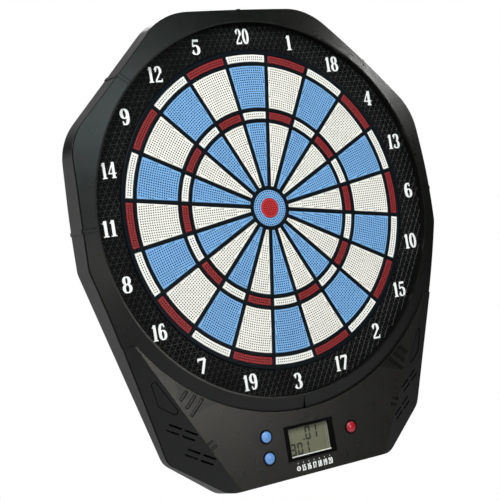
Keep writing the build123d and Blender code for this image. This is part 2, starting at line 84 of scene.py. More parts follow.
# ---------------------------------------------------------------- finishes
MOTTLE_SCALE, MOTTLE_DETAIL = 26.0, 4.0
MOTTLE_STOPS = (0.3, 0.7)
GLOSS_SCALE, GLOSS_DETAIL = 70.0, 3.0
GLOSS_SWING = 0.05
LEAST_ROUGHNESS = 0.02
GRAIN_DETAIL = 2.0
COAT_ROUGHNESS = 0.06
BUMP_SHARE = 0.3
BRUSH_STRETCH = (0.05, 1.0, 1.0)


class Grain(Enum):
    """Kinds of surface texture that a moulded part has."""

    LEATHERETTE = "leatherette"
    SATIN = "satin"
    BRUSHED = "brushed"


@dataclass(frozen=True)
class Finish:
    """One finish: its colour, how it varies, its gloss and its grain."""

    name: str
    color: tuple[float, float, float]
    shade: float = 0.12
    roughness: float = 0.4
    specular: float = 0.5
    metallic: float = 0.0
    coat: float = 0.0
    grain: Grain = Grain.SATIN
    grain_size: float = 0.6
    relief: float = 0.12

    def material(self) -> bpy.types.Material:
        """Make or find the finish's material.

        Colour is the base colour times a slow noise on Object coordinates, between 1 - shade and
        1 + shade. Roughness moves a little with a second noise, and a fine noise or a Voronoi
        cell pattern at the grain's size gives the bump.

        Returns:
            The material, made once for each finish.
        """
        found = bpy.data.materials.get(self.name)
        if found is not None:
            return found
        material = bpy.data.materials.new(self.name)
        material.use_nodes = True
        tree = material.node_tree
        shader = tree.nodes["Principled BSDF"]
        shader.inputs["Metallic"].default_value = self.metallic
        shader.inputs["Specular IOR Level"].default_value = self.specular
        shader.inputs["Coat Weight"].default_value = self.coat
        shader.inputs["Coat Roughness"].default_value = COAT_ROUGHNESS
        place = tree.nodes.new("ShaderNodeTexCoord").outputs["Object"]
        self._mottle(tree, place, shader)
        self._gloss(tree, place, shader)
        if self.relief > 0:
            self._bump(tree, place, shader)
        material.diffuse_color = (*self.color, 1.0)
        return material

    @staticmethod
    def _noise(tree: bpy.types.NodeTree, place: bpy.types.NodeSocket, scale: float,
               detail: float) -> bpy.types.Node:
        """Add a noise.

        Args:
            tree: The material's nodes.
            place: Output that gives the place on the surface.
            scale: Noise cells to the metre.
            detail: Octaves of finer noise.

        Returns:
            The noise node.
        """
        noise = tree.nodes.new("ShaderNodeTexNoise")
        noise.inputs["Scale"].default_value = scale
        noise.inputs["Detail"].default_value = detail
        tree.links.new(place, noise.inputs["Vector"])
        return noise

    def _mottle(self, tree: bpy.types.NodeTree, place: bpy.types.NodeSocket, shader: bpy.types.Node) -> None:
        """Vary the colour slowly over the surface, by a noise about 40 mm across.

        Args:
            tree: The material's nodes.
            place: Output that gives the place on the surface.
            shader: The surface shader.
        """
        noise = self._noise(tree, place, MOTTLE_SCALE, MOTTLE_DETAIL)
        ramp = tree.nodes.new("ShaderNodeValToRGB")
        low, high = ramp.color_ramp.elements
        low.position, high.position = MOTTLE_STOPS
        low.color = (*(value * (1 - self.shade) for value in self.color), 1.0)
        high.color = (*(min(value * (1 + self.shade), 1.0) for value in self.color), 1.0)
        tree.links.new(noise.outputs["Fac"], ramp.inputs["Fac"])
        tree.links.new(ramp.outputs["Color"], shader.inputs["Base Color"])

    def _gloss(self, tree: bpy.types.NodeTree, place: bpy.types.NodeSocket, shader: bpy.types.Node) -> None:
        """Vary the roughness a little, as handled plastic does.

        Args:
            tree: The material's nodes.
            place: Output that gives the place on the surface.
            shader: The surface shader.
        """
        noise = self._noise(tree, place, GLOSS_SCALE, GLOSS_DETAIL)
        span = tree.nodes.new("ShaderNodeMapRange")
        span.inputs["To Min"].default_value = max(self.roughness - GLOSS_SWING, LEAST_ROUGHNESS)
        span.inputs["To Max"].default_value = min(self.roughness + GLOSS_SWING, 1.0)
        tree.links.new(noise.outputs["Fac"], span.inputs["Value"])
        tree.links.new(span.outputs["Result"], shader.inputs["Roughness"])

    def _bump(self, tree: bpy.types.NodeTree, place: bpy.types.NodeSocket, shader: bpy.types.Node) -> None:
        """Add the grain: cells for leatherette, stretched noise for brushed, else plain noise.

        Args:
            tree: The material's nodes.
            place: Output that gives the place on the surface.
            shader: The surface shader.
        """
        bump = tree.nodes.new("ShaderNodeBump")
        bump.inputs["Distance"].default_value = self.grain_size * MM * BUMP_SHARE
        bump.inputs["Strength"].default_value = self.relief
        scale = 1.0 / (self.grain_size * MM)
        if self.grain is Grain.BRUSHED:
            stretch = tree.nodes.new("ShaderNodeMapping")
            stretch.inputs["Scale"].default_value = BRUSH_STRETCH
            tree.links.new(place, stretch.inputs["Vector"])
            place = stretch.outputs["Vector"]
        if self.grain is Grain.LEATHERETTE:
            cells = tree.nodes.new("ShaderNodeTexVoronoi")
            cells.inputs["Scale"].default_value = scale
            tree.links.new(place, cells.inputs["Vector"])
            height = cells.outputs["Distance"]
        else:
            height = self._noise(tree, place, scale, GRAIN_DETAIL).outputs["Fac"]
        tree.links.new(height, bump.inputs["Height"])
        tree.links.new(bump.outputs["Normal"], shader.inputs["Normal"])


SURROUND = Finish("grained_black", (0.0048, 0.0052, 0.0044), 0.10, 0.29, 0.36, grain=Grain.LEATHERETTE,
                  grain_size=0.7, relief=0.22)
# A lighter, warmer copy of the surround black, painted sheen for the light that falls on the console, which
# is the same moulding.
CONSOLE = Finish("grained_black_painted_sheen", (0.0085, 0.0078, 0.0064), 0.10, 0.29, 0.42, grain=Grain.LEATHERETTE,
                 grain_size=0.7, relief=0.22)
HOUSING = Finish("housing_black", (0.0070, 0.0074, 0.0066), 0.10, 0.34, 0.38, grain=Grain.LEATHERETTE,
                 grain_size=0.9, relief=0.3)
# A lighter copy of the housing black for the faces that look at the wall: painted light on a back that the
# lamps barely reach.
BACK = Finish("back_black_painted_light", (0.020, 0.021, 0.020), 0.10, 0.42, 0.4, grain=Grain.LEATHERETTE,
              grain_size=0.9, relief=0.3)
# Near-black painted shade: the shadow of the parting gap on the surround's outer side, the groove floors, the
# lines round the marks and the rings round the buttons.
PAINTED_SHADE = Finish("painted_shade_black", (0.0012, 0.0012, 0.0012), 0.10, 0.6, 0.03, relief=0.05)
RING = Finish("ring_black", (0.0016, 0.0017, 0.0016), 0.15, 0.5, 0.06, relief=0.1)
# A lighter copy of the ring black for the lattice ridges, painted highlight for the glints along them.
RIDGE_GLINT = Finish("ridge_black_painted_glint", (0.025, 0.027, 0.025), 0.6, 0.38, 0.3, relief=0.05)
SPIDER = Finish("spider_black", (0.0012, 0.0034, 0.0058), 0.15, 0.40, 0.10, relief=0.1)
NUMERAL = Finish("numeral_white", (0.86, 0.86, 0.85), 0.03, 0.5, 0.4, relief=0.05)
# The darker copies among the segment colours below are painted shade for the walls and floors of the holes.
BLUE = Finish("segment_blue", (0.175, 0.385, 0.69), 0.05, 0.45, 0.35, relief=0.06)
BLUE_HOLE_SHADE = Finish("segment_blue_hole_shade", (0.005, 0.022, 0.085), 0.05, 0.6, 0.2, relief=0.03)
CREAM = Finish("segment_cream", (0.84, 0.81, 0.75), 0.03, 0.45, 0.35, relief=0.06)
CREAM_HOLE_SHADE = Finish("segment_cream_hole_shade", (0.30, 0.255, 0.19), 0.05, 0.6, 0.2, relief=0.03)
WHITE = Finish("segment_white", (0.85, 0.83, 0.79), 0.03, 0.45, 0.35, relief=0.06)
WHITE_HOLE_SHADE = Finish("segment_white_hole_shade", (0.30, 0.26, 0.20), 0.05, 0.6, 0.2, relief=0.03)
RED = Finish("segment_red", (0.235, 0.014, 0.017), 0.06, 0.42, 0.35, relief=0.06)
RED_HOLE_SHADE = Finish("segment_red_hole_shade", (0.11, 0.006, 0.008), 0.06, 0.6, 0.2, relief=0.03)
BRIGHT_RED = Finish("bull_red", (0.46, 0.018, 0.022), 0.05, 0.42, 0.35, relief=0.06)
BLUE_BUTTON = Finish("button_blue", (0.13, 0.29, 0.64), 0.06, 0.22, 0.5, coat=0.6, relief=0.02)
RED_BUTTON = Finish("button_red", (0.37, 0.008, 0.02), 0.06, 0.22, 0.5, coat=0.6, relief=0.02)
# Darker copies of the button colours, painted shade for the buttons' sides.
BLUE_SKIRT_SHADE = Finish("button_blue_side_shade", (0.010, 0.022, 0.085), 0.06, 0.4, 0.3, relief=0.02)
RED_SKIRT_SHADE = Finish("button_red_side_shade", (0.040, 0.003, 0.006), 0.06, 0.4, 0.3, relief=0.02)
BEZEL = Finish("bezel_black", (0.0015, 0.0015, 0.0015), 0.1, 0.45, 0.05, relief=0.03)
LCD = Finish("lcd_grey_green", (0.135, 0.134, 0.088), 0.05, 0.3, 0.4, coat=0.3, relief=0.02)
LCD_DIGIT = Finish("lcd_figures", (0.022, 0.022, 0.016), 0.05, 0.4, 0.3, relief=0.02)
# Pale strips on the display's edges, painted highlights where the glass's edges catch the light, brighter
# along the bottom than at the sides.
LCD_EDGE_HIGHLIGHT = Finish("lcd_edge_highlight", (0.85, 0.86, 0.82), 0.04, 0.3, 0.5, relief=0.02)
LCD_SIDE_HIGHLIGHT = Finish("lcd_side_highlight", (0.30, 0.30, 0.23), 0.04, 0.3, 0.5, relief=0.02)
LEGEND = Finish("printed_white", (0.84, 0.84, 0.83), 0.04, 0.55, 0.3, relief=0.03)
MAT = Finish("mat_rubber", (0.020, 0.020, 0.020), 0.15, 0.7, 0.3, relief=0.2)
PAD = Finish("pad_silicone", (0.35, 0.35, 0.36), 0.08, 0.5, 0.4, relief=0.05)
FILM = Finish("membrane_film", (0.42, 0.50, 0.46), 0.06, 0.25, 0.5, relief=0.02)
BOARD = Finish("board_green", (0.03, 0.16, 0.06), 0.12, 0.35, 0.5, relief=0.03)
SLEEVE = Finish("cell_sleeve", (0.12, 0.13, 0.14), 0.08, 0.3, 0.5, coat=0.3, relief=0.02)
STEEL = Finish("zinc_steel", (0.55, 0.55, 0.54), 0.06, 0.3, 0.5, metallic=1.0, grain=Grain.BRUSHED,
               grain_size=0.4, relief=0.1)
SPEAKER = Finish("sounder_black", (0.015, 0.015, 0.016), 0.1, 0.45, 0.4, relief=0.08)
FLOOR = Finish("studio_pale", (0.62, 0.62, 0.62), 0.01, 0.9, 0.1, relief=0.02)


# ---------------------------------------------------------------- mesh building
@dataclass
class Shell:
    """Points and polygons gathered for one mesh, in millimetres as (x, d, z)."""

    points: list[np.ndarray] = field(default_factory=list)
    corners: list[np.ndarray] = field(default_factory=list)
    sizes: list[np.ndarray] = field(default_factory=list)
    slots: list[np.ndarray] = field(default_factory=list)
    smooth: list[np.ndarray] = field(default_factory=list)
    count: int = 0

    def add_points(self, outline: np.ndarray, depth: float | np.ndarray) -> int:
        """Add points at a depth.

        Args:
            outline: Array of (x, z), any shape that ends in 2.
            depth: One depth, or one for each point.

        Returns:
            Index of the first new point.
        """
        flat = np.asarray(outline, float).reshape(-1, 2)
        block = np.column_stack([flat[:, 0], np.broadcast_to(depth, len(flat)), flat[:, 1]])
        start = self.count
        self.points.append(block)
        self.count += len(block)
        return start

    def add_faces(self, faces: np.ndarray, slot: int = 0, smooth: bool = False) -> None:
        """Add polygons with the same number of corners.

        Args:
            faces: Rows of point indices.
            slot: Material slot.
            smooth: Whether they shade smoothly.
        """
        faces = np.asarray(faces, np.int32)
        if not faces.size:
            return
        self.corners.append(faces.ravel())
        self.sizes.append(np.full(len(faces), faces.shape[1], np.int32))
        self.slots.append(np.full(len(faces), slot, np.int32))
        self.smooth.append(np.full(len(faces), smooth, bool))

    def bridge(self, front: int, rear: int, length: int, slot: int = 0, smooth: bool = False) -> None:
        """Join two closed rings of points with quads: the front ring, then the one behind it.

        Rings that run anticlockwise, seen from the front, give a wall that faces outwards, and
        clockwise rings give the wall of a hole.

        Args:
            front: Index of the front ring's first point.
            rear: Index of the rear ring's first point.
            length: Number of points in each ring.
            slot: Material slot.
            smooth: Whether the wall shades smoothly.
        """
        step = np.arange(length)
        following = (step + 1) % length
        self.add_faces(np.column_stack([front + step, rear + step, rear + following, front + following]),
                       slot, smooth)

    def loft(self, rings: list[np.ndarray], depths: list[float], slot: int = 0,
             smooth: bool = True) -> list[int]:
        """Carry a closed outline through several depths.

        Args:
            rings: Outlines with the same number of points, from the front to the rear.
            depths: Depth of each outline.
            slot: Material slot.
            smooth: Whether the wall shades smoothly.

        Returns:
            Index of the first point of each ring.
        """
        starts = [self.add_points(ring, depth) for ring, depth in zip(rings, depths)]
        for front, rear in zip(starts, starts[1:]):
            self.bridge(front, rear, len(rings[0]), slot, smooth)
        return starts

    def build(self, name: str, finishes: tuple[Finish, ...], body: str,
              replaced: str = "") -> bpy.types.Object:
        """Make the mesh object, in metres, with Y as minus the depth.

        Args:
            name: Name of the piece.
            finishes: One finish for each material slot.
            body: The body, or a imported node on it, that the piece rides.
            replaced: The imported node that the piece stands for, if it stands for one.

        Returns:
            The object, linked to the scene.
        """
        points = np.concatenate(self.points)
        vertices = np.column_stack([points[:, 0], -points[:, 1], points[:, 2]]) * MM
        corners = np.concatenate(self.corners)
        sizes = np.concatenate(self.sizes)
        mesh = bpy.data.meshes.new(name)
        mesh.vertices.add(len(vertices))
        mesh.vertices.foreach_set("co", vertices.astype(np.float32).ravel())
        mesh.loops.add(len(corners))
        mesh.loops.foreach_set("vertex_index", corners)
        mesh.polygons.add(len(sizes))
        mesh.polygons.foreach_set("loop_start", np.concatenate([[0], np.cumsum(sizes)[:-1]]).astype(np.int32))
        mesh.polygons.foreach_set("material_index", np.concatenate(self.slots))
        mesh.polygons.foreach_set("use_smooth", np.concatenate(self.smooth))
        mesh.update(calc_edges=True)
        mesh.validate()
        for finish in finishes:
            mesh.materials.append(finish.material())
        return placed(name, mesh, body, replaced)


def placed(name: str, mesh: bpy.types.Mesh, body: str, replaced: str = "") -> bpy.types.Object:
    """Link a mesh to the scene as a piece.

    Args:
        name: Name of the piece.
        mesh: Its mesh.
        body: The body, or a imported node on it, that the piece rides.
        replaced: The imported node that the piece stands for, if it stands for one.

    Returns:
        The object.
    """
    piece = bpy.data.objects.new(name, mesh)
    bpy.context.scene.collection.objects.link(piece)
    if replaced:
        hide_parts(replaced)
    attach(piece, body)
    LOG.info("%s: %d faces", name, len(mesh.polygons))
    return piece


def circle(radius: float, count: int, centre: tuple[float, float] = (0.0, 0.0)) -> np.ndarray:
    """Anticlockwise circle, seen from the front: centre plus radius times (cos, sin)."""
    turn = np.linspace(0.0, 2 * np.pi, count, endpoint=False)
    return np.column_stack([np.cos(turn), np.sin(turn)]) * radius + np.asarray(centre)


def turned(points: np.ndarray, degrees: float) -> np.ndarray:
    """Turn points about the origin.

    Args:
        points: Rows of (x, z).
        degrees: Angle, anticlockwise as seen from the front.

    Returns:
        The turned points.
    """
    turn = math.radians(degrees)
    basis = np.array([[math.cos(turn), math.sin(turn)], [-math.sin(turn), math.cos(turn)]])
    return np.asarray(points) @ basis


def rectangle(width: float, height: float, centre: tuple[float, float] = (0.0, 0.0)) -> np.ndarray:
    """Anticlockwise rectangle about a centre."""
    return np.array([[-1, -1], [1, -1], [1, 1], [-1, 1]]) * (width / 2, height / 2) + np.asarray(centre)


COVERED = 1            # the triangulation keeps only what lies inside some outline
NEAR = 1e-7            # points closer than this, in millimetres, are one


def fill(outlines: list[np.ndarray], cuts: list[np.ndarray]) -> tuple[np.ndarray, np.ndarray, np.ndarray]:
    """Triangles over the union of some outlines, less the cuts.

    All outlines go into one constrained Delaunay triangulation. A triangle stays if at least one
    outline covers it and no cut does.

    Args:
        outlines: Closed outlines of (x, z), which may overlap.
        cuts: Closed outlines of the openings.

    Returns:
        The points, the triangles as rows of three indices, anticlockwise from the front, and the
        index of each input point among the points.
    """
    rings = outlines + cuts
    sizes = [len(ring) for ring in rings]
    starts = np.concatenate([[0], np.cumsum(sizes)])
    faces = [list(range(int(start), int(end))) for start, end in zip(starts, starts[1:])]
    points = np.concatenate(rings).tolist()
    found, _, triangles, origins, _, owners = delaunay_2d_cdt(points, [], faces, COVERED, NEAR)
    index = np.empty(len(points), np.int32)
    index[np.fromiter(chain.from_iterable(origins), np.int32)] = np.repeat(
        np.arange(len(origins)), [len(sources) for sources in origins])
    kept = [bool(owner) and max(owner) < len(outlines) for owner in owners]
    places = np.array([tuple(point) for point in found])
    triangles = np.array([triangle for triangle, keep in zip(triangles, kept) if keep], np.int32)
    a, b, c = (places[triangles[:, corner]] for corner in range(3))
    area = np.cross(b - a, c - a)
    triangles[area < 0] = triangles[area < 0][:, ::-1]
    return places, triangles, index


def rim_edges(triangles: np.ndarray) -> np.ndarray:
    """Find the outline and the openings of a filled region.

    Args:
        triangles: Rows of three point indices, all in one sense.

    Returns:
        The directed edges that only one triangle uses, as rows of two point indices.
    """
    edges = np.concatenate([triangles[:, [0, 1]], triangles[:, [1, 2]], triangles[:, [2, 0]]])
    span = int(edges.max()) + 1
    forward = edges[:, 0].astype(np.int64) * span + edges[:, 1]
    backward = edges[:, 1].astype(np.int64) * span + edges[:, 0]
    return edges[~np.isin(forward, backward)]


def add_plate(shell: Shell, outlines: list[np.ndarray], cuts: list[np.ndarray], front: float, rear: float,
              slot: int = 0) -> None:
    """Add a closed plate: the filled region at two depths, and walls along its edges.

    Args:
        shell: Mesh under construction.
        outlines: Closed outlines of (x, z), which may overlap.
        cuts: Closed outlines of the openings.
        front: Depth of the front.
        rear: Depth of the rear.
        slot: Material slot.
    """
    places, triangles, _ = fill(outlines, cuts)
    face = shell.add_points(places, front)
    back = shell.add_points(places, rear)
    shell.add_faces(triangles + face, slot)
    shell.add_faces(triangles[:, ::-1] + back, slot)
    edges = rim_edges(triangles)
    shell.add_faces(np.column_stack([edges[:, 0] + face, edges[:, 0] + back, edges[:, 1] + back,
                                     edges[:, 1] + face]), slot)


# ---------------------------------------------------------------- target
@dataclass
class TargetSizes:
    """Sizes of the target, in millimetres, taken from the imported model's own boxes."""

    bar_gap: float = 4.4
    bull_bar_r: float = 22.2
    treble_in_bar_r: float = 96.9
    treble_out_bar_r: float = 109.2
    double_in_bar_r: float = 160.3
    target_r: float = 170.6
    bull_red_r: float = 10.8
    bull_split: float = 0.5
    play: float = 0.3
    lip: float = 1.2
    lip_height: float = 2.0
    segment_rear: float = 6.3
    segment_front: float = 26.5

    @property
    def half_bar(self) -> float:
        """Half the space between neighbouring segments."""
        return self.bar_gap / 2

    @property
    def spans(self) -> tuple[tuple[float, float], ...]:
        """Inner and outer radius of the inner single, treble, outer single and double."""
        half = self.half_bar
        return ((self.bull_bar_r + half, self.treble_in_bar_r - half),
                (self.treble_in_bar_r + half, self.treble_out_bar_r - half),
                (self.treble_out_bar_r + half, self.double_in_bar_r - half),
                (self.double_in_bar_r + half, self.target_r))


def sector(inner_r: float, outer_r: float, clock: float, inset: float, inner_count: int,
           outer_count: int) -> np.ndarray:
    """Anticlockwise ring sector whose sides run parallel to the spokes.

    At radius r the half angle is 9 degrees less arcsin(inset / r), so each side keeps the same
    distance from its spoke. The outer arc runs anticlockwise, then the inner arc back.

    Args:
        inner_r: Radius of the inner arc.
        outer_r: Radius of the outer arc.
        clock: Angle of the sector's middle, clockwise from the top.
        inset: Distance of each side from its spoke.
        inner_count: Points along the inner arc.
        outer_count: Points along the outer arc.

    Returns:
        The outline, as rows of (x, z).
    """
    half_wedge = math.pi / len(NUMBERS)
    outer_half = half_wedge - math.asin(inset / outer_r)
    inner_half = half_wedge - math.asin(inset / inner_r)
    middle = math.radians(90.0 - clock)
    outer = middle + np.linspace(-outer_half, outer_half, outer_count)
    inner = middle + np.linspace(inner_half, -inner_half, inner_count)
    return np.concatenate([np.column_stack([np.cos(outer), np.sin(outer)]) * outer_r,
                           np.column_stack([np.cos(inner), np.sin(inner)]) * inner_r])


SLIGHT = 1e-6          # millimetres, so that a hole exactly at the margin counts


def sector_holes(inner_r: float, outer_r: float, clock: float, inset: float, pitch: float,
                 margin: float) -> np.ndarray:
    """Centres of the holes in one segment.

    Rows follow arcs one pitch apart, centred between the segment's two radii. In each row the
    holes stand at whole pitches either side of the wedge's axis, as far as the margin allows.

    Args:
        inner_r: Inner radius of the segment.
        outer_r: Outer radius of the segment.
        clock: Angle of the segment's middle, clockwise from the top.
        inset: Distance of each side from its spoke.
        pitch: Distance between neighbouring holes.
        margin: Least distance from a hole's centre to the segment's edge.

    Returns:
        The centres, as rows of (x, z).
    """
    rows = int((outer_r - inner_r - 2 * margin) / pitch) + 1
    radii = (inner_r + outer_r) / 2 + (np.arange(rows) - (rows - 1) / 2) * pitch
    reach = radii * (np.pi / len(NUMBERS) - np.arcsin(inset / radii)) - margin
    most = int(reach.max() / pitch)
    columns = np.arange(-most, most + 1) * pitch
    radius, across = np.meshgrid(radii, columns, indexing="ij")
    inside = np.abs(across) <= reach[:, None] + SLIGHT
    radius, across = radius[inside], across[inside]
    angle = math.radians(90.0 - clock) - across / radius
    return np.column_stack([np.cos(angle), np.sin(angle)]) * radius[:, None]


@dataclass
class Target:
    """The 82 perforated segments, the spider between them and the pieces behind them."""

    sizes: TargetSizes = field(default_factory=TargetSizes)
    hole_pitch: float = 2.6
    hole_r: float = 0.80
    hole_depth: float = 3.0
    hole_sides: int = 8
    hole_margin: float = 1.5
    hole_slack: float = 0.04
    outer_bull_rows: tuple[float, ...] = (13.2, 15.7, 18.2)
    inner_bull_rows: tuple[float, ...] = (0.0, 2.5, 5.0, 7.5)
    edge: float = 0.45
    edge_share: float = 0.3
    inner_chord: float = 12.0
    outer_chord: float = 8.0
    bull_sides: int = 72
    rim_sides: int = 288
    bar_round: tuple[tuple[float, float], ...] = ((0.75, 0.0), (0.25, 0.18), (0.0, 0.7))

    @property
    def shoulder(self) -> float:
        """Depth of the lips' front."""
        return self.sizes.segment_rear + self.sizes.lip_height

    def arc_counts(self, span: tuple[float, float]) -> tuple[int, int]:
        """Points along a segment's inner and outer arc."""
        return max(3, int(span[0] / self.inner_chord)), max(4, int(span[1] / self.outer_chord))

    @property
    def insets(self) -> tuple[float, ...]:
        """Distances inwards of the four outlines that carry a segment's side down to its lip."""
        return self.edge, self.edge * self.edge_share, 0.0, 0.0

    def perforated(self, shell: Shell, outlines: list[np.ndarray], lip: np.ndarray, centres: np.ndarray,
                   openings: tuple[np.ndarray, ...] = ()) -> None:
        """Add one segment: a lofted side with a rounded edge and a lip, a drilled front and a back.

        Args:
            shell: Mesh under construction.
            outlines: The side's outlines, one for each inset.
            lip: Outline of the lip.
            centres: Centres of the holes.
            openings: Outlines cut right through, such as the middle of the outer bull.
        """
        top, rear = self.sizes.segment_front, self.sizes.segment_rear
        rings = [*outlines, lip, lip]
        depths = [top, top - self.edge * self.edge_share, top - self.edge, self.shoulder, self.shoulder, rear]
        turn = np.linspace(0.0, 2 * np.pi, self.hole_sides, endpoint=False) + np.pi / self.hole_sides
        hole = np.column_stack([np.cos(turn), np.sin(turn)]) * self.hole_r
        holes = centres[:, None, :] + hole[None, :, :]
        places, triangles, index = fill([rings[0]], [*openings, *holes])
        front = shell.add_points(places, top)
        floor = shell.add_points(places, top - self.hole_depth)
        shell.add_faces(triangles + front)
        edges = rim_edges(triangles)
        reach = np.linalg.norm(places[edges[:, 0], None, :] - centres[None, :, :], axis=2).min(axis=1)
        start, end = edges[reach < self.hole_r + self.hole_slack].T
        # The holes' walls and floors take slot 1, a darker copy of the segment colour: painted shade inside
        # the holes.
        shell.add_faces(np.column_stack([start + front, start + floor, end + floor, end + front]), 1)
        shell.add_faces(index[-len(holes) * self.hole_sides:].reshape(len(holes), -1) + floor, 1)
        starts = shell.loft(rings, depths)
        if not openings:
            shell.add_faces(np.arange(len(lip))[None, ::-1] + starts[-1])
            return
        for opening in openings:
            shell.loft([opening[::-1]] * 2, [top, rear])
        places, triangles, _ = fill([lip], list(openings))
        shell.add_faces(triangles[:, ::-1] + shell.add_points(places, rear))

    def add_segment(self, shell: Shell, span: tuple[float, float], clock: float) -> None:
        """Add one lipped segment.

        Args:
            shell: Mesh under construction.
            span: Inner and outer radius.
            clock: Angle of the segment's middle, clockwise from the top.
        """
        inner_r, outer_r = span
        half, counts = self.sizes.half_bar, self.arc_counts(span)
        outlines = [sector(inner_r + inset, outer_r - inset, clock, half + inset, *counts)
                    for inset in self.insets]
        lip = sector(inner_r, outer_r, clock, half - self.sizes.lip, *counts)
        centres = sector_holes(inner_r, outer_r, clock, half, self.hole_pitch, self.hole_margin)
        self.perforated(shell, outlines, lip, centres)

    def build_segments(self) -> None:
        """Build the singles and the double and treble of each number, each pair on its own body."""
        inner_single, treble, outer_single, double = self.sizes.spans
        # The second finish of each pair is painted shade for the inside of the holes.
        blue_pairs = ((BLUE, BLUE_HOLE_SHADE), (WHITE, WHITE_HOLE_SHADE))
        cream_pairs = ((CREAM, CREAM_HOLE_SHADE), (RED, RED_HOLE_SHADE))
        for place, number in enumerate(NUMBERS):
            single_finishes, ring_finishes = blue_pairs if number in BLUE_NUMBERS else cream_pairs
            for kind, pair, finishes in (("singles", (inner_single, outer_single), single_finishes),
                                         ("double_treble", (treble, double), ring_finishes)):
                shell = Shell()
                for span in pair:
                    self.add_segment(shell, span, place * WEDGE)
                node = f"{kind}_{number:02d}"
                shell.build(f"perforated_{node}", finishes, node, node)

    def build_bull(self) -> None:
        """Build both bulls, drilled in concentric rings."""
        sizes = self.sizes
        outer_r = sizes.bull_bar_r - sizes.half_bar
        middle = circle(sizes.bull_red_r + sizes.bull_split, self.bull_sides)
        for node, radius, openings, rows, finishes in (
                ("outer_bull", outer_r, (middle,), self.outer_bull_rows, (BLUE, BLUE_HOLE_SHADE)),
                ("inner_bull", sizes.bull_red_r, (), self.inner_bull_rows, (BRIGHT_RED, RED_HOLE_SHADE))):
            centres = [circle(row, max(1, round(2 * math.pi * row / self.hole_pitch))) for row in rows]
            shell = Shell()
            self.perforated(shell, [circle(radius - inset, self.bull_sides) for inset in self.insets],
                            circle(radius + sizes.lip, self.bull_sides), np.concatenate(centres), openings)
            shell.build(f"perforated_{node}", finishes, node, node)

    def build_spider(self) -> None:
        """Build the spider: one plate with 81 windows, each with a rounded edge.

        Every window is a sector carried from the bar's flat crown down its rounded shoulder to
        the rear, so the bars are highest along their middle.
        """
        sizes = self.sizes
        low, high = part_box("spider")
        front, rear, outer_r = -low[1] / MM, -high[1] / MM, high[0] / MM
        shoulder = self.shoulder + sizes.play
        grown = [grow for grow, _ in self.bar_round] + [0.0]
        windows = []
        for place in range(len(NUMBERS)):
            for span in sizes.spans:
                inner_r, span_r = span[0] - sizes.play, span[1] + sizes.play
                windows.append([sector(inner_r - grow, span_r + grow, place * WEDGE,
                                       sizes.half_bar - sizes.play - grow, *self.arc_counts(span))
                                for grow in grown])
        bull_r = sizes.bull_bar_r - sizes.half_bar + sizes.play
        windows.append([circle(bull_r + grow, self.bull_sides) for grow in grown])
        rim = [circle(outer_r - grow, self.rim_sides) for grow in grown]
        depths = [front - drop for _, drop in self.bar_round]
        shell = Shell()
        places, triangles, _ = fill([rim[0]], [rings[0] for rings in windows])
        shell.add_faces(triangles + shell.add_points(places, front))
        for rings in windows:
            shell.loft([ring[::-1] for ring in rings], depths + [shoulder])
        shell.loft(rim, depths + [rear])
        inner = circle(sizes.target_r + sizes.play, self.rim_sides)
        shell.loft([inner[::-1]] * 2, [shoulder, rear])
        openings = [rings[-1] for rings in windows]
        for depth, outline, cuts in ((shoulder, inner, openings), (rear, rim[-1], [inner])):
            places, triangles, _ = fill([outline], cuts)
            shell.add_faces(triangles[:, ::-1] + shell.add_points(places, depth))
        shell.build("target_spider", (SPIDER,), CASING, "spider")

    def build(self) -> None:
        """Build the whole target and dress the mat and the membrane."""
        self.build_segments()
        self.build_bull()
        self.build_spider()
        dress("rubber_mat", MAT)
        dress("switch_membrane", FILM)


# ---------------------------------------------------------------- numerals
@dataclass(frozen=True)
class Stroke:
    """One pen stroke of a figure: an arc of an ellipse or a straight run, in figure heights."""

    start: tuple[float, float]
    end: tuple[float, float]
    centre: tuple[float, float] | None = None
    radii: tuple[float, float] = (0.0, 0.0)
    thick: float | None = None


def arc(centre: tuple[float, float], radii: tuple[float, float], begin: float, finish: float) -> Stroke:
    """Stroke along an ellipse, from one angle to another in degrees."""
    return Stroke((begin, 0.0), (finish, 0.0), centre, radii)


def line(start: tuple[float, float], end: tuple[float, float], thick: float | None = None) -> Stroke:
    """Straight stroke, with its own half width where it needs one."""
    return Stroke(start, end, thick=thick)


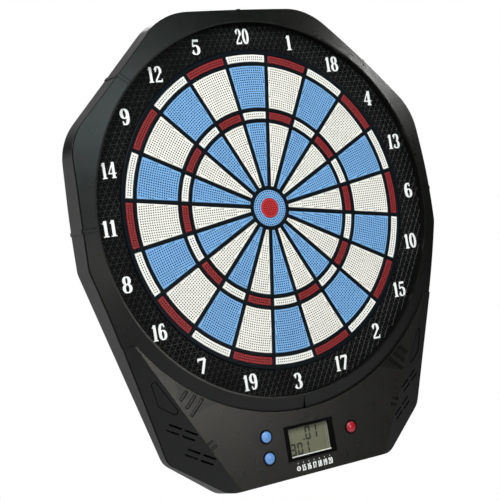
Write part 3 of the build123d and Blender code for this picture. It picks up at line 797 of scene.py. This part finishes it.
THIN, THICK = 0.032, 0.100   # half widths of a level and an upright stroke, in figure heights
CONTRAST = 1.5
FULL_TURN = 360
OVERLAP = 1.0          # degrees by which the halves of a ring overlap
FIGURES: dict[str, tuple[float, tuple[Stroke, ...]]] = {
    "0": (0.62, (arc((0.31, 0.5), (0.215, 0.468), 0, 360),)),
    "1": (0.42, (line((0.22, 0.02), (0.22, 0.98)), line((0.05, 0.80), (0.20, 0.93), THIN),
                 line((0.04, 0.03), (0.40, 0.03)))),
    "2": (0.62, (arc((0.30, 0.70), (0.19, 0.27), 165, -25), line((0.46, 0.60), (0.09, 0.10), 0.055),
                 line((0.05, 0.055), (0.56, 0.055), 0.055), line((0.555, 0.01), (0.575, 0.22), 0.028),
                 line((0.085, 0.72), (0.17, 0.72), 0.07))),
    "3": (0.60, (arc((0.27, 0.735), (0.185, 0.235), 160, -75), arc((0.27, 0.275), (0.215, 0.245), 85, -160),
                 line((0.08, 0.765), (0.16, 0.765), 0.065), line((0.07, 0.225), (0.15, 0.225), 0.065))),
    "4": (0.64, (line((0.42, 0.02), (0.42, 0.98)), line((0.40, 0.96), (0.05, 0.30), 0.035),
                 line((0.02, 0.29), (0.62, 0.29), 0.035), line((0.26, 0.03), (0.58, 0.03)))),
    "5": (0.60, (line((0.12, 0.90), (0.52, 0.90), 0.075), line((0.14, 0.95), (0.10, 0.50), 0.034),
                 arc((0.27, 0.31), (0.22, 0.285), 128, -158), line((0.07, 0.24), (0.15, 0.24), 0.065))),
    "6": (0.62, (arc((0.31, 0.5), (0.215, 0.468), 58, 270), arc((0.31, 0.305), (0.205, 0.275), 0, 360),
                 line((0.41, 0.82), (0.49, 0.82), 0.06))),
    "7": (0.58, (line((0.05, 0.905), (0.54, 0.905), 0.075), line((0.52, 0.90), (0.24, 0.02), 0.085),
                 line((0.055, 0.97), (0.035, 0.76), 0.026))),
    "8": (0.62, (arc((0.31, 0.745), (0.175, 0.225), 0, 360), arc((0.31, 0.275), (0.215, 0.245), 0, 360))),
    "9": (0.62, (arc((0.31, 0.5), (0.215, 0.468), 238, 450), arc((0.31, 0.695), (0.205, 0.275), 0, 360),
                 line((0.13, 0.18), (0.21, 0.18), 0.06))),
}


def ribbon(stroke: Stroke, steps: int, extra: float = 0.0) -> list[np.ndarray]:
    """Outlines of one stroke.

    The pen's half width at each point is thin plus (thick - thin) times the upright share of the
    direction to the power CONTRAST, so upright strokes are heavy and level ones fine.

    Args:
        stroke: The stroke to widen.
        steps: Points along an arc.
        extra: Half width added all along, for bolder print.

    Returns:
        One closed outline, or an outer and an inner one for a full ring.
    """
    if stroke.centre is None:
        path = np.array([stroke.start, stroke.end])
        heading = np.tile(path[1] - path[0], (2, 1))
    else:
        turn = np.radians(np.linspace(stroke.start[0], stroke.end[0], steps))
        path = np.column_stack([np.cos(turn), np.sin(turn)]) * stroke.radii + stroke.centre
        sense = np.sign(stroke.end[0] - stroke.start[0])
        heading = np.column_stack([-np.sin(turn), np.cos(turn)]) * stroke.radii * sense
    heading = heading / np.linalg.norm(heading, axis=1, keepdims=True)
    half = THIN + (THICK - THIN) * np.abs(heading[:, 1]) ** CONTRAST
    if stroke.thick is not None:
        half = np.full(len(path), stroke.thick)
    side = np.column_stack([heading[:, 1], -heading[:, 0]]) * (half + extra)[:, None]
    right, left = path + side, path - side
    if stroke.centre is not None and abs(stroke.end[0] - stroke.start[0]) >= FULL_TURN:
        return [right[:-1], left[:-1]]
    return [np.concatenate([right, left[::-1]])]


FIGURE_GAP = 0.075     # space between figures, in figure heights


def figure_width(text: str) -> float:
    """Width of a row of figures, in figure heights."""
    return sum(FIGURES[letter][0] for letter in text) + FIGURE_GAP * (len(text) - 1)


def figure_outlines(text: str, height: float, centre: tuple[float, float], steps: int,
                    squeeze: float = 1.0, extra: float = 0.0) -> list[np.ndarray]:
    """Outlines of a row of figures.

    Each ring-shaped stroke is cut into two halves, so every outline is one simple loop.

    Args:
        text: The figures.
        height: Height of the figures.
        centre: Middle of the row, as (x, z).
        steps: Points along each arc.
        squeeze: Factor on the width.
        extra: Half width added to every stroke, in figure heights.

    Returns:
        Closed outlines, which overlap where strokes meet.
    """
    shift = -figure_width(text) / 2
    outlines = []
    for letter in text:
        advance, strokes = FIGURES[letter]
        for stroke in strokes:
            parts = [stroke]
            if stroke.centre is not None and abs(stroke.end[0] - stroke.start[0]) >= FULL_TURN:
                half = (stroke.start[0] + stroke.end[0]) / 2
                parts = [arc(stroke.centre, stroke.radii, stroke.start[0], half + OVERLAP),
                         arc(stroke.centre, stroke.radii, half, stroke.end[0] + OVERLAP)]
            for part in parts:
                outlines += [(loop + (shift, -0.5)) * (height * squeeze, height) + centre
                             for loop in ribbon(part, steps, extra)]
        shift += advance + FIGURE_GAP
    return outlines


@dataclass
class NumberRing:
    """The black ring round the target, with its moulded lattice and raised numerals."""

    numeral_r: float = 191.0
    numeral_height: float = 17.0
    numeral_rise: float = 0.35
    numeral_width: float = 0.98
    numeral_steps: int = 26
    lattice_side: float = 7.0
    lattice_out_r: float = 205.0
    ridge_half: float = 0.26
    ridge_rise: float = 0.28
    ridge_clear: float = 0.6
    ridge_least: float = 1.0
    sink: float = 0.05
    spider_gap: float = 0.3
    sides: int = 360

    def build(self) -> None:
        """Build the ring, its lattice and its numerals."""
        low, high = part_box("number_ring")
        front, rear = -low[1] / MM - self.numeral_rise, -high[1] / MM
        inner_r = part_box("spider")[1][0] / MM + self.spider_gap
        shell = Shell()
        outer = shell.loft([circle(high[0] / MM, self.sides)] * 2, [front, rear])
        inner = shell.loft([circle(inner_r, self.sides)[::-1]] * 2, [front, rear])
        step = np.arange(self.sides)
        for ring, sense in ((0, 1), (1, -1)):
            out, back = outer[ring] + step, inner[ring] + self.sides - 1 - step
            quads = np.column_stack([out, np.roll(out, -1), np.roll(back, -1), back])
            shell.add_faces(quads[:, ::sense])
        self.add_lattice(shell, front, inner_r + self.ridge_clear, self.lattice_out_r - self.ridge_clear)
        shell.build("latticed_number_ring", (RING, RIDGE_GLINT), CASING, "number_ring")
        self.build_numerals(front)

    def add_lattice(self, shell: Shell, base: float, inner_r: float, outer_r: float) -> None:
        """Add ridges along three families of parallel lines, 60 degrees apart.

        A line at distance h from the centre crosses the ring where the half chord lies between
        sqrt(inner^2 - h^2) and sqrt(outer^2 - h^2). Each ridge has a roof-shaped section.

        Args:
            shell: Mesh under construction.
            base: Depth of the ring's face.
            inner_r: Radius where the ridges begin.
            outer_r: Radius where they end.
        """
        spacing = self.lattice_side * math.sqrt(3) / 2
        limit = int(self.lattice_out_r / spacing)
        offsets = np.arange(-limit, limit + 1) * spacing
        outer = np.sqrt(np.maximum(outer_r ** 2 - offsets ** 2, 0.0))
        inner = np.sqrt(np.maximum(inner_r ** 2 - offsets ** 2, 0.0))
        whole = inner <= 0.0
        begin = np.concatenate([inner[~whole], -outer[~whole], -outer[whole]])
        end = np.concatenate([outer[~whole], -inner[~whole], outer[whole]])
        level = np.concatenate([offsets[~whole], offsets[~whole], offsets[whole]])
        kept = end - begin > self.ridge_least
        begin, end, level = begin[kept], end[kept], level[kept]
        index = np.arange(len(level))
        for turn in (0.0, 60.0, 120.0):
            ends = [shell.add_points(turned(np.column_stack([stop, level + edge]), turn), base + rise) + index
                    for edge, rise in ((-self.ridge_half, -self.sink), (0.0, self.ridge_rise),
                                       (self.ridge_half, -self.sink))
                    for stop in (begin, end)]
            # The ridges take slot 1, the lighter black that is painted highlight.
            for corners in ((0, 1, 3, 2), (2, 3, 5, 4), (1, 0, 4, 5), (0, 2, 4), (1, 5, 3)):
                shell.add_faces(np.column_stack([ends[corner] for corner in corners]), 1)

    def build_numerals(self, base: float) -> None:
        """Build the twenty upright numerals, centred on a circle.

        A number of two figures is narrowed so that it is at most numeral_width of its height wide.

        Args:
            base: Depth of the ring's face.
        """
        shell = Shell()
        for place, number in enumerate(NUMBERS):
            clock = math.radians(place * WEDGE)
            centre = (self.numeral_r * math.sin(clock), self.numeral_r * math.cos(clock))
            squeeze = min(1.0, self.numeral_width / figure_width(str(number)))
            outlines = figure_outlines(str(number), self.numeral_height, centre, self.numeral_steps, squeeze)
            add_plate(shell, outlines, [], base + self.numeral_rise, base - self.sink)
        shell.build("ring_numerals", (NUMERAL,), CASING)


# ---------------------------------------------------------------- casing
LEVEL = 0.9999         # part of a normal along Y from which a face is level with the wall
FACING_WALL = 0.9      # the same, from which a face looks at the wall
FACING_FRONT = 0.8     # the same, from which a face looks to the front
STEEP = 0.35           # part of a normal along Y up to which a face stands across the wall
WALL_COSINE = 0.3      # cosine of the angle at an edge up to which its faces stand square
CONSOLE_TOP = -0.2     # height of the console's top, in metres
EDGE_REACH = 8.0       # millimetres from the outline
GROOVE_WIDTH = 1.6     # millimetres
GROOVE_WALLED = 0.8    # share of a groove floor's edge that has walls
MERGE_REACH = 1e-6     # corners closer than this, in metres, are one
FLAT_DEGREES = 0.4     # faces that meet at less than this are one
EDGE_STEPS = 2         # steps across a rounded edge
BY_AREA = 100          # how far large faces hold the normals at their corners


def dress(node: str, finish: Finish) -> None:
    """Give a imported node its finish.

    Args:
        node: The node.
        finish: Its finish.
    """
    mesh = frame["nodes"][node].data
    mesh.materials.clear()
    mesh.materials.append(finish.material())
    LOG.info("%s: %s", node, finish.name)


def console_face(face: bmesh.types.BMFace, outline: np.ndarray) -> bool:
    """Whether a face is level with the wall and lies below the target, as the console does."""
    return face.normal.y < -LEVEL and face.calc_center_median().z < CONSOLE_TOP


def back_face(face: bmesh.types.BMFace, outline: np.ndarray) -> bool:
    """Whether a face looks at the wall."""
    return face.normal.y > FACING_WALL


def outer_side(face: bmesh.types.BMFace, outline: np.ndarray) -> bool:
    """Whether a face lies on the outside of a convex outline.

    It does if its normal is nearly level with the wall and its centre, measured along that
    normal, is close to the farthest point.

    Args:
        face: The face.
        outline: All points of the mesh, as rows of (x, z) in metres.

    Returns:
        Whether it is an outer face.
    """
    normal, centre = face.normal, face.calc_center_median()
    if abs(normal.y) > STEEP:
        return False
    heading = np.array([normal.x, normal.z]) / math.hypot(normal.x, normal.z)
    farthest = float((outline @ heading).max())
    return float(np.array([centre.x, centre.z]) @ heading) > farthest - EDGE_REACH * MM


def groove_floor(face: bmesh.types.BMFace, outline: np.ndarray) -> bool:
    """Whether a face is the floor of a narrow groove, so a thin face with walls along it.

    Args:
        face: The face.
        outline: All points of the mesh, which this rule has no use for.

    Returns:
        Whether it is a groove's floor.
    """
    lengths = [edge.calc_length() for edge in face.edges]
    walls = [length for length, edge in zip(lengths, face.edges)
             if abs(math.cos(edge.calc_face_angle(0.0))) < WALL_COSINE]
    narrow = 2 * face.calc_area() < GROOVE_WIDTH * MM * sum(lengths)
    return face.normal.y < -FACING_FRONT and narrow and sum(walls) > GROOVE_WALLED * sum(lengths)


Rule = Callable[[bmesh.types.BMFace, np.ndarray], bool]


def merged(node: str) -> bmesh.types.BMesh:
    """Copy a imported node's mesh with its corners merged and its flat faces made one.

    Args:
        node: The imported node.

    Returns:
        The copy, to be freed after use.
    """
    work = bmesh.new()
    work.from_mesh(frame["nodes"][node].data)
    bmesh.ops.remove_doubles(work, verts=work.verts, dist=MERGE_REACH)
    bmesh.ops.dissolve_limit(work, angle_limit=math.radians(FLAT_DEGREES), verts=work.verts, edges=work.edges)
    return work


def refined(node: str, name: str, finish: Finish, coats: tuple[tuple[Finish, Rule], ...] = (),
            bevel: float = 0.22, angle: float = 9.0) -> None:
    """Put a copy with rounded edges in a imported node's place.

    Args:
        node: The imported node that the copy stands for.
        name: Name of the copy.
        finish: Finish of most faces.
        coats: Other finishes, each with the rule that picks its faces. The first match counts.
        bevel: Width of the rounded edges, in millimetres.
        angle: Faces that meet at less than this, in degrees, shade as one.
    """
    work = merged(node)
    outline = np.array([vertex.co.xz for vertex in work.verts])
    for face in work.faces:
        face.smooth = True
        matches = (slot for slot, (_, rule) in enumerate(coats, 1) if rule(face, outline))
        face.material_index = next(matches, 0)
    mesh = bpy.data.meshes.new(name)
    work.to_mesh(mesh)
    work.free()
    for choice in (finish, *(coat for coat, _ in coats)):
        mesh.materials.append(choice.material())
    mesh.set_sharp_from_angle(angle=math.radians(angle))
    piece = placed(name, mesh, frame["nodes"][node]["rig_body"], node)
    rounding = piece.modifiers.new("edges", "BEVEL")
    rounding.width = bevel * MM
    rounding.segments = EDGE_STEPS
    rounding.limit_method = "ANGLE"
    rounding.angle_limit = math.radians(angle)
    rounding.use_clamp_overlap = True
    flatten = piece.modifiers.new("flat faces", "WEIGHTED_NORMAL")
    flatten.weight = BY_AREA
    flatten.keep_sharp = True


@dataclass
class Casing:
    """The rear housing, the front surround and the fasteners."""

    # The console faces take a lighter black, painted sheen; the outer side strip and the groove floors take
    # near-black painted shade.
    surround_coats: tuple[tuple[Finish, Rule], ...] = (
        (CONSOLE, console_face), (PAINTED_SHADE, outer_side), (PAINTED_SHADE, groove_floor))
    housing_coats: tuple[tuple[Finish, Rule], ...] = ((BACK, back_face),)
    line_width: float = 0.75
    joint_line_width: float = 0.35
    line_rise: float = 0.05
    mark_depth: float = 0.7
    front_tilt: float = 0.6
    marks_beyond: tuple[float, float] = (55.0, -100.0)

    def build(self) -> None:
        """Dress both shells, the battery door and the screws."""
        refined("rear_housing", "grained_rear_housing", HOUSING, self.housing_coats)
        refined("front_surround", "grained_front_surround", SURROUND, self.surround_coats)
        refined("battery_door", "battery_cover", HOUSING, self.housing_coats)
        dress("battery_cells", SLEEVE)
        dress("battery_contacts", STEEL)
        dress("housing_screws", STEEL)
        dress("sounder", SPEAKER)
        self.build_mark_lines()

    def mark_rims(self) -> np.ndarray:
        """Find the edges where the low wall of a shallow mark meets the face in front of it.

        Returns:
            Rows of the edge's two ends and the face's normal, each as (x, y, z) in metres.
        """
        work = merged("front_surround")
        rows = []
        for wall in (face for face in work.faces if abs(face.normal.y) < STEEP):
            for loop in wall.loops:
                other = loop.link_loop_radial_next
                start, end = other.vert.co, other.link_loop_next.vert.co
                behind = (start + end).y / 2 > wall.calc_center_median().y
                if behind or other.face.normal.y > -self.front_tilt:
                    continue
                heading = (end - start).normalized()
                reach = max((vertex.co - start).cross(heading).length for vertex in wall.verts)
                if reach < self.mark_depth * MM:
                    rows.append((start.copy(), end.copy(), other.face.normal.copy()))
        work.free()
        return np.array(rows)

    def build_mark_lines(self) -> None:
        """Build near-black strips of painted shade round the bars and the sunk panels, and finer ones at the
        joints.

        Beside each rim edge lies a thin closed strip. Its crown is the edge made longer by the
        line's width at both ends, and the same moved by that width along normal x direction, so
        away from the mark. Its underside is the crown moved back by twice the line's rise. A
        strip that would stand in front of the surround is left out.
        """
        rows = self.mark_rims()
        far_x, top_z = (value * MM for value in self.marks_beyond)
        joint = rows[:, 0, 2] > top_z
        rows = rows[joint | (np.abs(rows[:, 0, 0]) > far_x)]
        width = np.where(rows[:, :1, 2] > top_z, self.joint_line_width, self.line_width) * MM
        start, end, normal = rows[:, 0], rows[:, 1], rows[:, 2]
        heading = (end - start) / np.linalg.norm(end - start, axis=1, keepdims=True)
        aside = np.cross(normal, heading) * width
        lift = normal * self.line_rise * MM
        start = start - heading * width + lift
        end = end + heading * width + lift
        crown = np.stack([start, end, end + aside, start + aside], axis=1)
        inside = crown[:, :, 1].min(axis=1) >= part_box("front_surround")[0][1]
        crown, lift = crown[inside], lift[inside]
        corners = np.concatenate([crown, crown - 2 * lift[:, None, :]], axis=1).reshape(-1, 3) / MM
        shell = Shell()
        base = shell.add_points(corners[:, [0, 2]], -corners[:, 1])
        strips = np.arange(len(corners)).reshape(-1, 8) + base
        for quad in ((0, 1, 2, 3), (7, 6, 5, 4), (0, 4, 5, 1), (1, 5, 6, 2), (2, 6, 7, 3), (3, 7, 4, 0)):
            shell.add_faces(strips[:, quad])
        shell.build("mark_lines", (PAINTED_SHADE,), CASING)


# ---------------------------------------------------------------- console
def console_front() -> float:
    """Depth of the console's face: the level below the target with most of the surround's area."""
    mesh = frame["nodes"]["front_surround"].data
    normals = np.empty(len(mesh.polygons) * 3)
    centres, areas = np.empty_like(normals), np.empty(len(mesh.polygons))
    mesh.polygons.foreach_get("normal", normals)
    mesh.polygons.foreach_get("center", centres)
    mesh.polygons.foreach_get("area", areas)
    level = (normals[1::3] < -LEVEL) & (centres[2::3] < CONSOLE_TOP)
    values, places = np.unique(np.round(-centres[1::3][level] / MM, 2), return_inverse=True)
    return float(values[np.argmax(np.bincount(places, areas[level]))])


@dataclass(frozen=True)
class Reading:
    """One row of figures on the display: its text, its middle seen from the pane's, its height."""

    text: str
    shift: float
    lift: float
    height: float


LIT_BARS = {"0": "abcdef", "1": "bc", "3": "abgcd"}


@dataclass
class Display:
    """The liquid crystal display: its bezel, its pane, the figures on it and the painted highlights along the
    glass's edges.
    """

    pane: tuple[float, float] = (53.0, 32.0)
    pane_rise: float = 0.12
    readings: tuple[Reading, ...] = (Reading("01", 4.2, 7.2, 15.0), Reading("301", -12.4, -7.8, 13.2))
    figure_pitch: float = 8.6
    figure_width: float = 6.8
    stroke: float = 2.0
    level_extra: float = 0.35
    upright_less: float = 0.25
    figure_rise: float = 0.18
    sink: float = 0.1
    dash: tuple[float, float] = (3.4, 1.1)
    dash_place: tuple[float, float] = (-5.6, 1.0)
    sill: tuple[float, float] = (51.6, 0.7)
    sill_lift: float = -15.1
    sill_rise: float = 2.6
    strips: tuple[tuple[float, float], ...] = ((23.0, 0.4), (25.4, 0.9))
    strip_height: float = 29.4
    strip_lift: float = 0.3
    strip_rise: float = 0.3
    bezel_edge: float = 0.3

    def bars(self, digit: str, centre: tuple[float, float], height: float) -> list[np.ndarray]:
        """Outlines of the bars of a seven-bar figure.

        Each bar is a six-sided strip: a level one is half the stroke high with pointed ends, an
        upright one is the same turned by 90 degrees.

        Args:
            digit: The figure.
            centre: Its middle, as (x, z).
            height: Its height.

        Returns:
            One outline for each lit bar.
        """
        half = self.stroke / 2
        side = self.figure_width / 2 - half
        level, upright = side + self.level_extra, height / 4 - self.upright_less
        end, quarter = height / 2 - half, height / 4
        places = {"a": (0, end), "b": (side, quarter), "c": (side, -quarter), "d": (0, -end),
                  "e": (-side, -quarter), "f": (-side, quarter), "g": (0, 0)}
        outlines = []
        for bar in LIT_BARS[digit]:
            reach, turn = (level, 0) if bar in "adg" else (upright, 90)
            strip = np.array([[-reach, 0], [-reach + half, -half], [reach - half, -half], [reach, 0],
                              [reach - half, half], [-reach + half, half]])
            outlines.append(turned(strip, turn) + places[bar] + np.asarray(centre))
        return outlines

    def build(self) -> None:
        """Build the display's pane, its figures, the painted highlights along its edges, brightest along the
        bottom, and the black bezel.
        """
        low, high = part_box("lcd_module")
        front = -low[1] / MM
        x, z = (low[0] + high[0]) / 2 / MM, (low[2] + high[2]) / 2 / MM
        dress("lcd_module", BEZEL)
        refined("lcd_bezel", "display_bezel", BEZEL, bevel=self.bezel_edge)
        pane = Shell()
        add_plate(pane, [rectangle(*self.pane, (x, z))], [], front + self.pane_rise, front)
        pane.build("display_pane", (LCD,), CASING)
        figures = Shell()
        outlines = []
        for reading in self.readings:
            for index, digit in enumerate(reading.text):
                column = (index - (len(reading.text) - 1) / 2) * self.figure_pitch
                outlines += self.bars(digit, (x + reading.shift + column, z + reading.lift), reading.height)
        outlines.append(rectangle(*self.dash, (x + self.dash_place[0], z + self.dash_place[1])))
        for outline in outlines:
            add_plate(figures, [outline], [], front + self.figure_rise, front + self.sink)
        figures.build("display_figures", (LCD_DIGIT,), CASING)
        edges = Shell()
        sill = rectangle(*self.sill, (x, z + self.sill_lift))
        add_plate(edges, [sill], [], front + self.sill_rise, front + self.sink)
        for shift, width in self.strips:
            strip = rectangle(width, self.strip_height, (x + shift, z + self.strip_lift))
            add_plate(edges, [strip], [], front + self.strip_rise, front + self.sink, 1)
        edges.build("display_edge_highlights", (LCD_EDGE_HIGHLIGHT, LCD_SIDE_HIGHLIGHT), CASING)


@dataclass
class Buttons:
    """The three domed buttons, the rings of painted shade round them and the pieces behind them."""

    radius: float = 6.4
    dome_drop: float = 1.55
    dome_share: tuple[float, float] = (0.06, 0.90)
    dome_rings: int = 12
    turn_share: float = 0.96
    turn_drops: tuple[float, float] = (1.62, 2.0)
    flange: float = 1.6
    sides: int = 64
    sharp: float = 40.0
    line_gaps: tuple[float, float] = (0.35, 1.45)
    line_rise: float = 0.05

    def build_button(self, node: str, finishes: tuple[Finish, Finish]) -> tuple[float, float]:
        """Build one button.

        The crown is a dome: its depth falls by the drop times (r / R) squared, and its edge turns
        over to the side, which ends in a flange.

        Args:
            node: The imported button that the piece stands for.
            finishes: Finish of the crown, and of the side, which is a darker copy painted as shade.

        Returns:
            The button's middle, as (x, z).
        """
        low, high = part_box(node)
        centre = ((low[0] + high[0]) / 2 / MM, (low[2] + high[2]) / 2 / MM)
        front, rear, flange_r = -low[1] / MM, -high[1] / MM, (high[0] - low[0]) / 2 / MM
        share = np.linspace(*self.dome_share, self.dome_rings)
        dome = [(self.radius * value, front - self.dome_drop * value ** 2) for value in share]
        skirt = [dome[-1], (self.radius * self.turn_share, front - self.turn_drops[0]),
                 (self.radius, front - self.turn_drops[1]), (self.radius, rear + self.flange),
                 (flange_r, rear + self.flange), (flange_r, rear)]
        shell = Shell()
        index = np.arange(self.sides)[None, :]
        for slot, profile in enumerate((dome, skirt)):
            rings = [circle(radius, self.sides, centre) for radius, _ in profile]
            starts = shell.loft(rings, [depth for _, depth in profile], slot)
            cap = index[:, ::-1] + starts[-1] if slot else index + starts[0]
            shell.add_faces(cap, slot, not slot)
        piece = shell.build(f"domed_{node}", finishes, node, node)
        piece.data.set_sharp_from_angle(angle=math.radians(self.sharp))
        return centre

    def build(self) -> None:
        """Build the buttons, and a flat near-black ring of painted shade on the console just outside each
        one's hole.
        """
        front = console_front()
        inner, outer = (self.radius + gap for gap in self.line_gaps)
        lines = Shell()
        for node, finishes in (("game_button", (BLUE_BUTTON, BLUE_SKIRT_SHADE)),
                               ("option_button", (BLUE_BUTTON, BLUE_SKIRT_SHADE)),
                               ("change_button", (RED_BUTTON, RED_SKIRT_SHADE))):
            centre = self.build_button(node, finishes)
            add_plate(lines, [circle(outer, self.sides, centre)], [circle(inner, self.sides, centre)],
                      front + self.line_rise, front - self.line_rise)
        lines.build("button_shade_rings", (PAINTED_SHADE,), CASING)
        dress("circuit_board", BOARD)
        dress("button_pad", PAD)


@dataclass
class Scale:
    """The printed scale below the display: a ring with a dot for the bull, then plain numbers."""

    labels: tuple[str, ...] = ("", "15", "16", "17", "18", "19", "20")
    first_x: float = -20.0
    pitch: float = 6.85
    place_z: float = -282.8
    height: float = 6.4
    squeeze: float = 0.66
    bolder: float = 0.030
    steps: int = 12
    ring_radii: tuple[float, float] = (1.5, 2.5)
    dot_r: float = 0.7
    ring_sides: int = 24
    dot_sides: int = 12
    tick: tuple[float, float] = (0.55, 1.5)
    tick_lift: float = 5.6
    tab_depth: float = 0.5
    rise: float = 0.06
    sink: float = 0.02

    def build(self) -> None:
        """Build the scale on the sunk tab, whose depth is the console's less the tab's."""
        floor = console_front() - self.tab_depth
        front, rear = floor + self.rise, floor - self.sink
        shell = Shell()
        for index, label in enumerate(self.labels):
            middle = (self.first_x + index * self.pitch, self.place_z)
            if label:
                outlines = figure_outlines(label, self.height, middle, self.steps, self.squeeze, self.bolder)
                add_plate(shell, outlines, [], front, rear)
            else:
                hole, rim = (circle(radius, self.ring_sides, middle) for radius in self.ring_radii)
                add_plate(shell, [rim], [hole], front, rear)
                add_plate(shell, [circle(self.dot_r, self.dot_sides, middle)], [], front, rear)
            tick = rectangle(*self.tick, (middle[0], self.place_z + self.tick_lift))
            add_plate(shell, [tick], [], front, rear)
        shell.build("printed_scale", (LEGEND,), CASING)


# ---------------------------------------------------------------- studio
@dataclass(frozen=True)
class Lamp:
    """A square area lamp: its place and target in metres, its side and its power."""

    name: str
    place: tuple[float, float, float]
    size: float
    watts: float
    color: tuple[float, float, float] = (1.0, 1.0, 1.0)
    target: tuple[float, float, float] = (0.0, 0.0, 0.0)


LAMPS = (
    Lamp("key_high_left", (-1.5, -1.7, 1.7), 1.2, 76.0),
    Lamp("console_sheen", (0.36, -1.12, -0.22), 0.25, 1.5, (1.0, 0.97, 0.90), (-0.1, 0.0, -0.24)),
    Lamp("band_sheen", (-0.22, -1.85, 0.78), 0.5, 1.4, (0.45, 0.95, 1.0), (-0.15, 0.0, 0.15)),
    Lamp("lower_band_box", (-0.50, -1.95, -0.12), 0.5, 2.5, (1.0, 1.0, 0.96), (-0.2, 0.0, -0.08)),
    Lamp("upper_right_glint", (1.45, -0.72, 0.72), 0.25, 7.6, (1.0, 1.0, 0.97), (0.16, 0.0, 0.13)),
    Lamp("rear_left_box", (-1.3, 0.9, 0.0), 1.1, 4.8, (1.0, 1.0, 1.0), (-0.22, 0.0, 0.0)),
    Lamp("rear_low_box", (-0.65, 1.0, -0.65), 0.7, 0.8, (1.0, 1.0, 1.0), (-0.2, 0.0, -0.25)),
    Lamp("rear_top_box", (-0.3, 1.0, 1.0), 0.8, 0.9, (1.0, 1.0, 1.0), (-0.15, 0.0, 0.15)),
    Lamp("rear_fill", (1.2, 2.2, 1.0), 1.2, 40.0, (1.0, 1.0, 1.0), (0.0, 0.0, -0.05)),
    Lamp("front_fill", (0.2, -2.4, 1.2), 1.4, 18.0, (0.84, 1.0, 1.0)),
)


@dataclass
class Studio:
    """Camera, lamps, floor and world."""

    lens: float = 83.74
    location: tuple[float, float, float] = (-0.6552, -1.1148, -0.0749)
    forward: tuple[float, float, float] = (0.49593, 0.86798, 0.02598)
    upward: tuple[float, float, float] = (0.12764, -0.10246, 0.98651)
    sensor: float = 36.0
    sight: float = 20.0
    floor_z: float = -1.1
    floor_reach: float = 12.0
    floor_back: float = 2.0
    floor_glow: float = 0.96
    world_strength: float = 0.008

    def build(self) -> None:
        """Build everything round the object."""
        self.build_camera()
        self.build_lamps()
        self.build_floor()
        self.build_world()

    def build_camera(self) -> None:
        """Place the camera by its view axes: right, up and backwards make its matrix."""
        data = bpy.data.cameras.new("camera")
        data.sensor_width = self.sensor
        data.lens = self.lens
        data.clip_end = self.sight
        camera = bpy.data.objects.new("camera", data)
        forward = Vector(self.forward).normalized()
        right = forward.cross(Vector(self.upward)).normalized()
        upward = right.cross(forward)
        camera.matrix_world = Matrix((
            (right.x, upward.x, -forward.x, self.location[0]),
            (right.y, upward.y, -forward.y, self.location[1]),
            (right.z, upward.z, -forward.z, self.location[2]),
            (0.0, 0.0, 0.0, 1.0)))
        bpy.context.scene.collection.objects.link(camera)
        bpy.context.scene.camera = camera

    def build_lamps(self) -> None:
        """Add the square area lamps, each turned to face the object."""
        for lamp in LAMPS:
            data = bpy.data.lights.new(lamp.name, "AREA")
            data.size = lamp.size
            data.energy = lamp.watts
            data.color = lamp.color
            piece = bpy.data.objects.new(lamp.name, data)
            piece.location = lamp.place
            aim = Vector(lamp.target) - Vector(lamp.place)
            piece.rotation_euler = aim.to_track_quat("-Z", "Y").to_euler()
            piece.visible_camera = False
            bpy.context.scene.collection.objects.link(piece)

    def build_floor(self) -> None:
        """Add a plain floor, nearly white to the camera, that takes some of the object's shadow."""
        mesh = bpy.data.meshes.new("studio_floor")
        near, far, side = -self.floor_reach, self.floor_back, self.floor_reach
        mesh.from_pydata([(-side, near, self.floor_z), (side, near, self.floor_z), (side, far, self.floor_z),
                          (-side, far, self.floor_z)], [], [(0, 1, 2, 3)])
        pale = FLOOR.material()
        tree = pale.node_tree
        path = tree.nodes.new("ShaderNodeLightPath")
        share = tree.nodes.new("ShaderNodeMapRange")
        share.inputs["To Max"].default_value = self.floor_glow
        glow = tree.nodes.new("ShaderNodeEmission")
        glow.inputs["Color"].default_value = (1.0, 1.0, 1.0, 1.0)
        mix = tree.nodes.new("ShaderNodeMixShader")
        tree.links.new(path.outputs["Is Camera Ray"], share.inputs["Value"])
        tree.links.new(share.outputs["Result"], mix.inputs["Fac"])
        tree.links.new(tree.nodes["Principled BSDF"].outputs["BSDF"], mix.inputs[1])
        tree.links.new(glow.outputs["Emission"], mix.inputs[2])
        tree.links.new(mix.outputs["Shader"], tree.nodes["Material Output"].inputs["Surface"])
        mesh.materials.append(pale)
        sheet = bpy.data.objects.new("studio_floor", mesh)
        bpy.context.scene.collection.objects.link(sheet)

    def build_world(self) -> None:
        """Make the surroundings white to the camera and through glass, and dim as a source of light."""
        world = bpy.data.worlds.new("studio_world")
        bpy.context.scene.world = world
        world.use_nodes = True
        tree = world.node_tree
        background = tree.nodes["Background"]
        background.inputs["Color"].default_value = (1.0, 1.0, 1.0, 1.0)
        path = tree.nodes.new("ShaderNodeLightPath")
        either = tree.nodes.new("ShaderNodeMath")
        either.operation = "MAXIMUM"
        span = tree.nodes.new("ShaderNodeMapRange")
        span.inputs["To Min"].default_value = self.world_strength
        span.inputs["To Max"].default_value = 1.0
        tree.links.new(path.outputs["Is Camera Ray"], either.inputs[0])
        tree.links.new(path.outputs["Is Transmission Ray"], either.inputs[1])
        tree.links.new(either.outputs["Value"], span.inputs["Value"])
        tree.links.new(span.outputs["Result"], background.inputs["Strength"])


def main() -> None:
    """Build every piece in order."""
    logging.basicConfig(level=logging.INFO, format="%(name)s: %(message)s")
    bpy.context.scene.view_settings.view_transform = "Standard"
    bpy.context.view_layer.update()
    for part in (Studio(), Target(), NumberRing(), Casing(), Display(), Buttons(), Scale()):
        part.build()
        LOG.info("%s done", type(part).__name__)


if __name__ == "__main__":
    main()
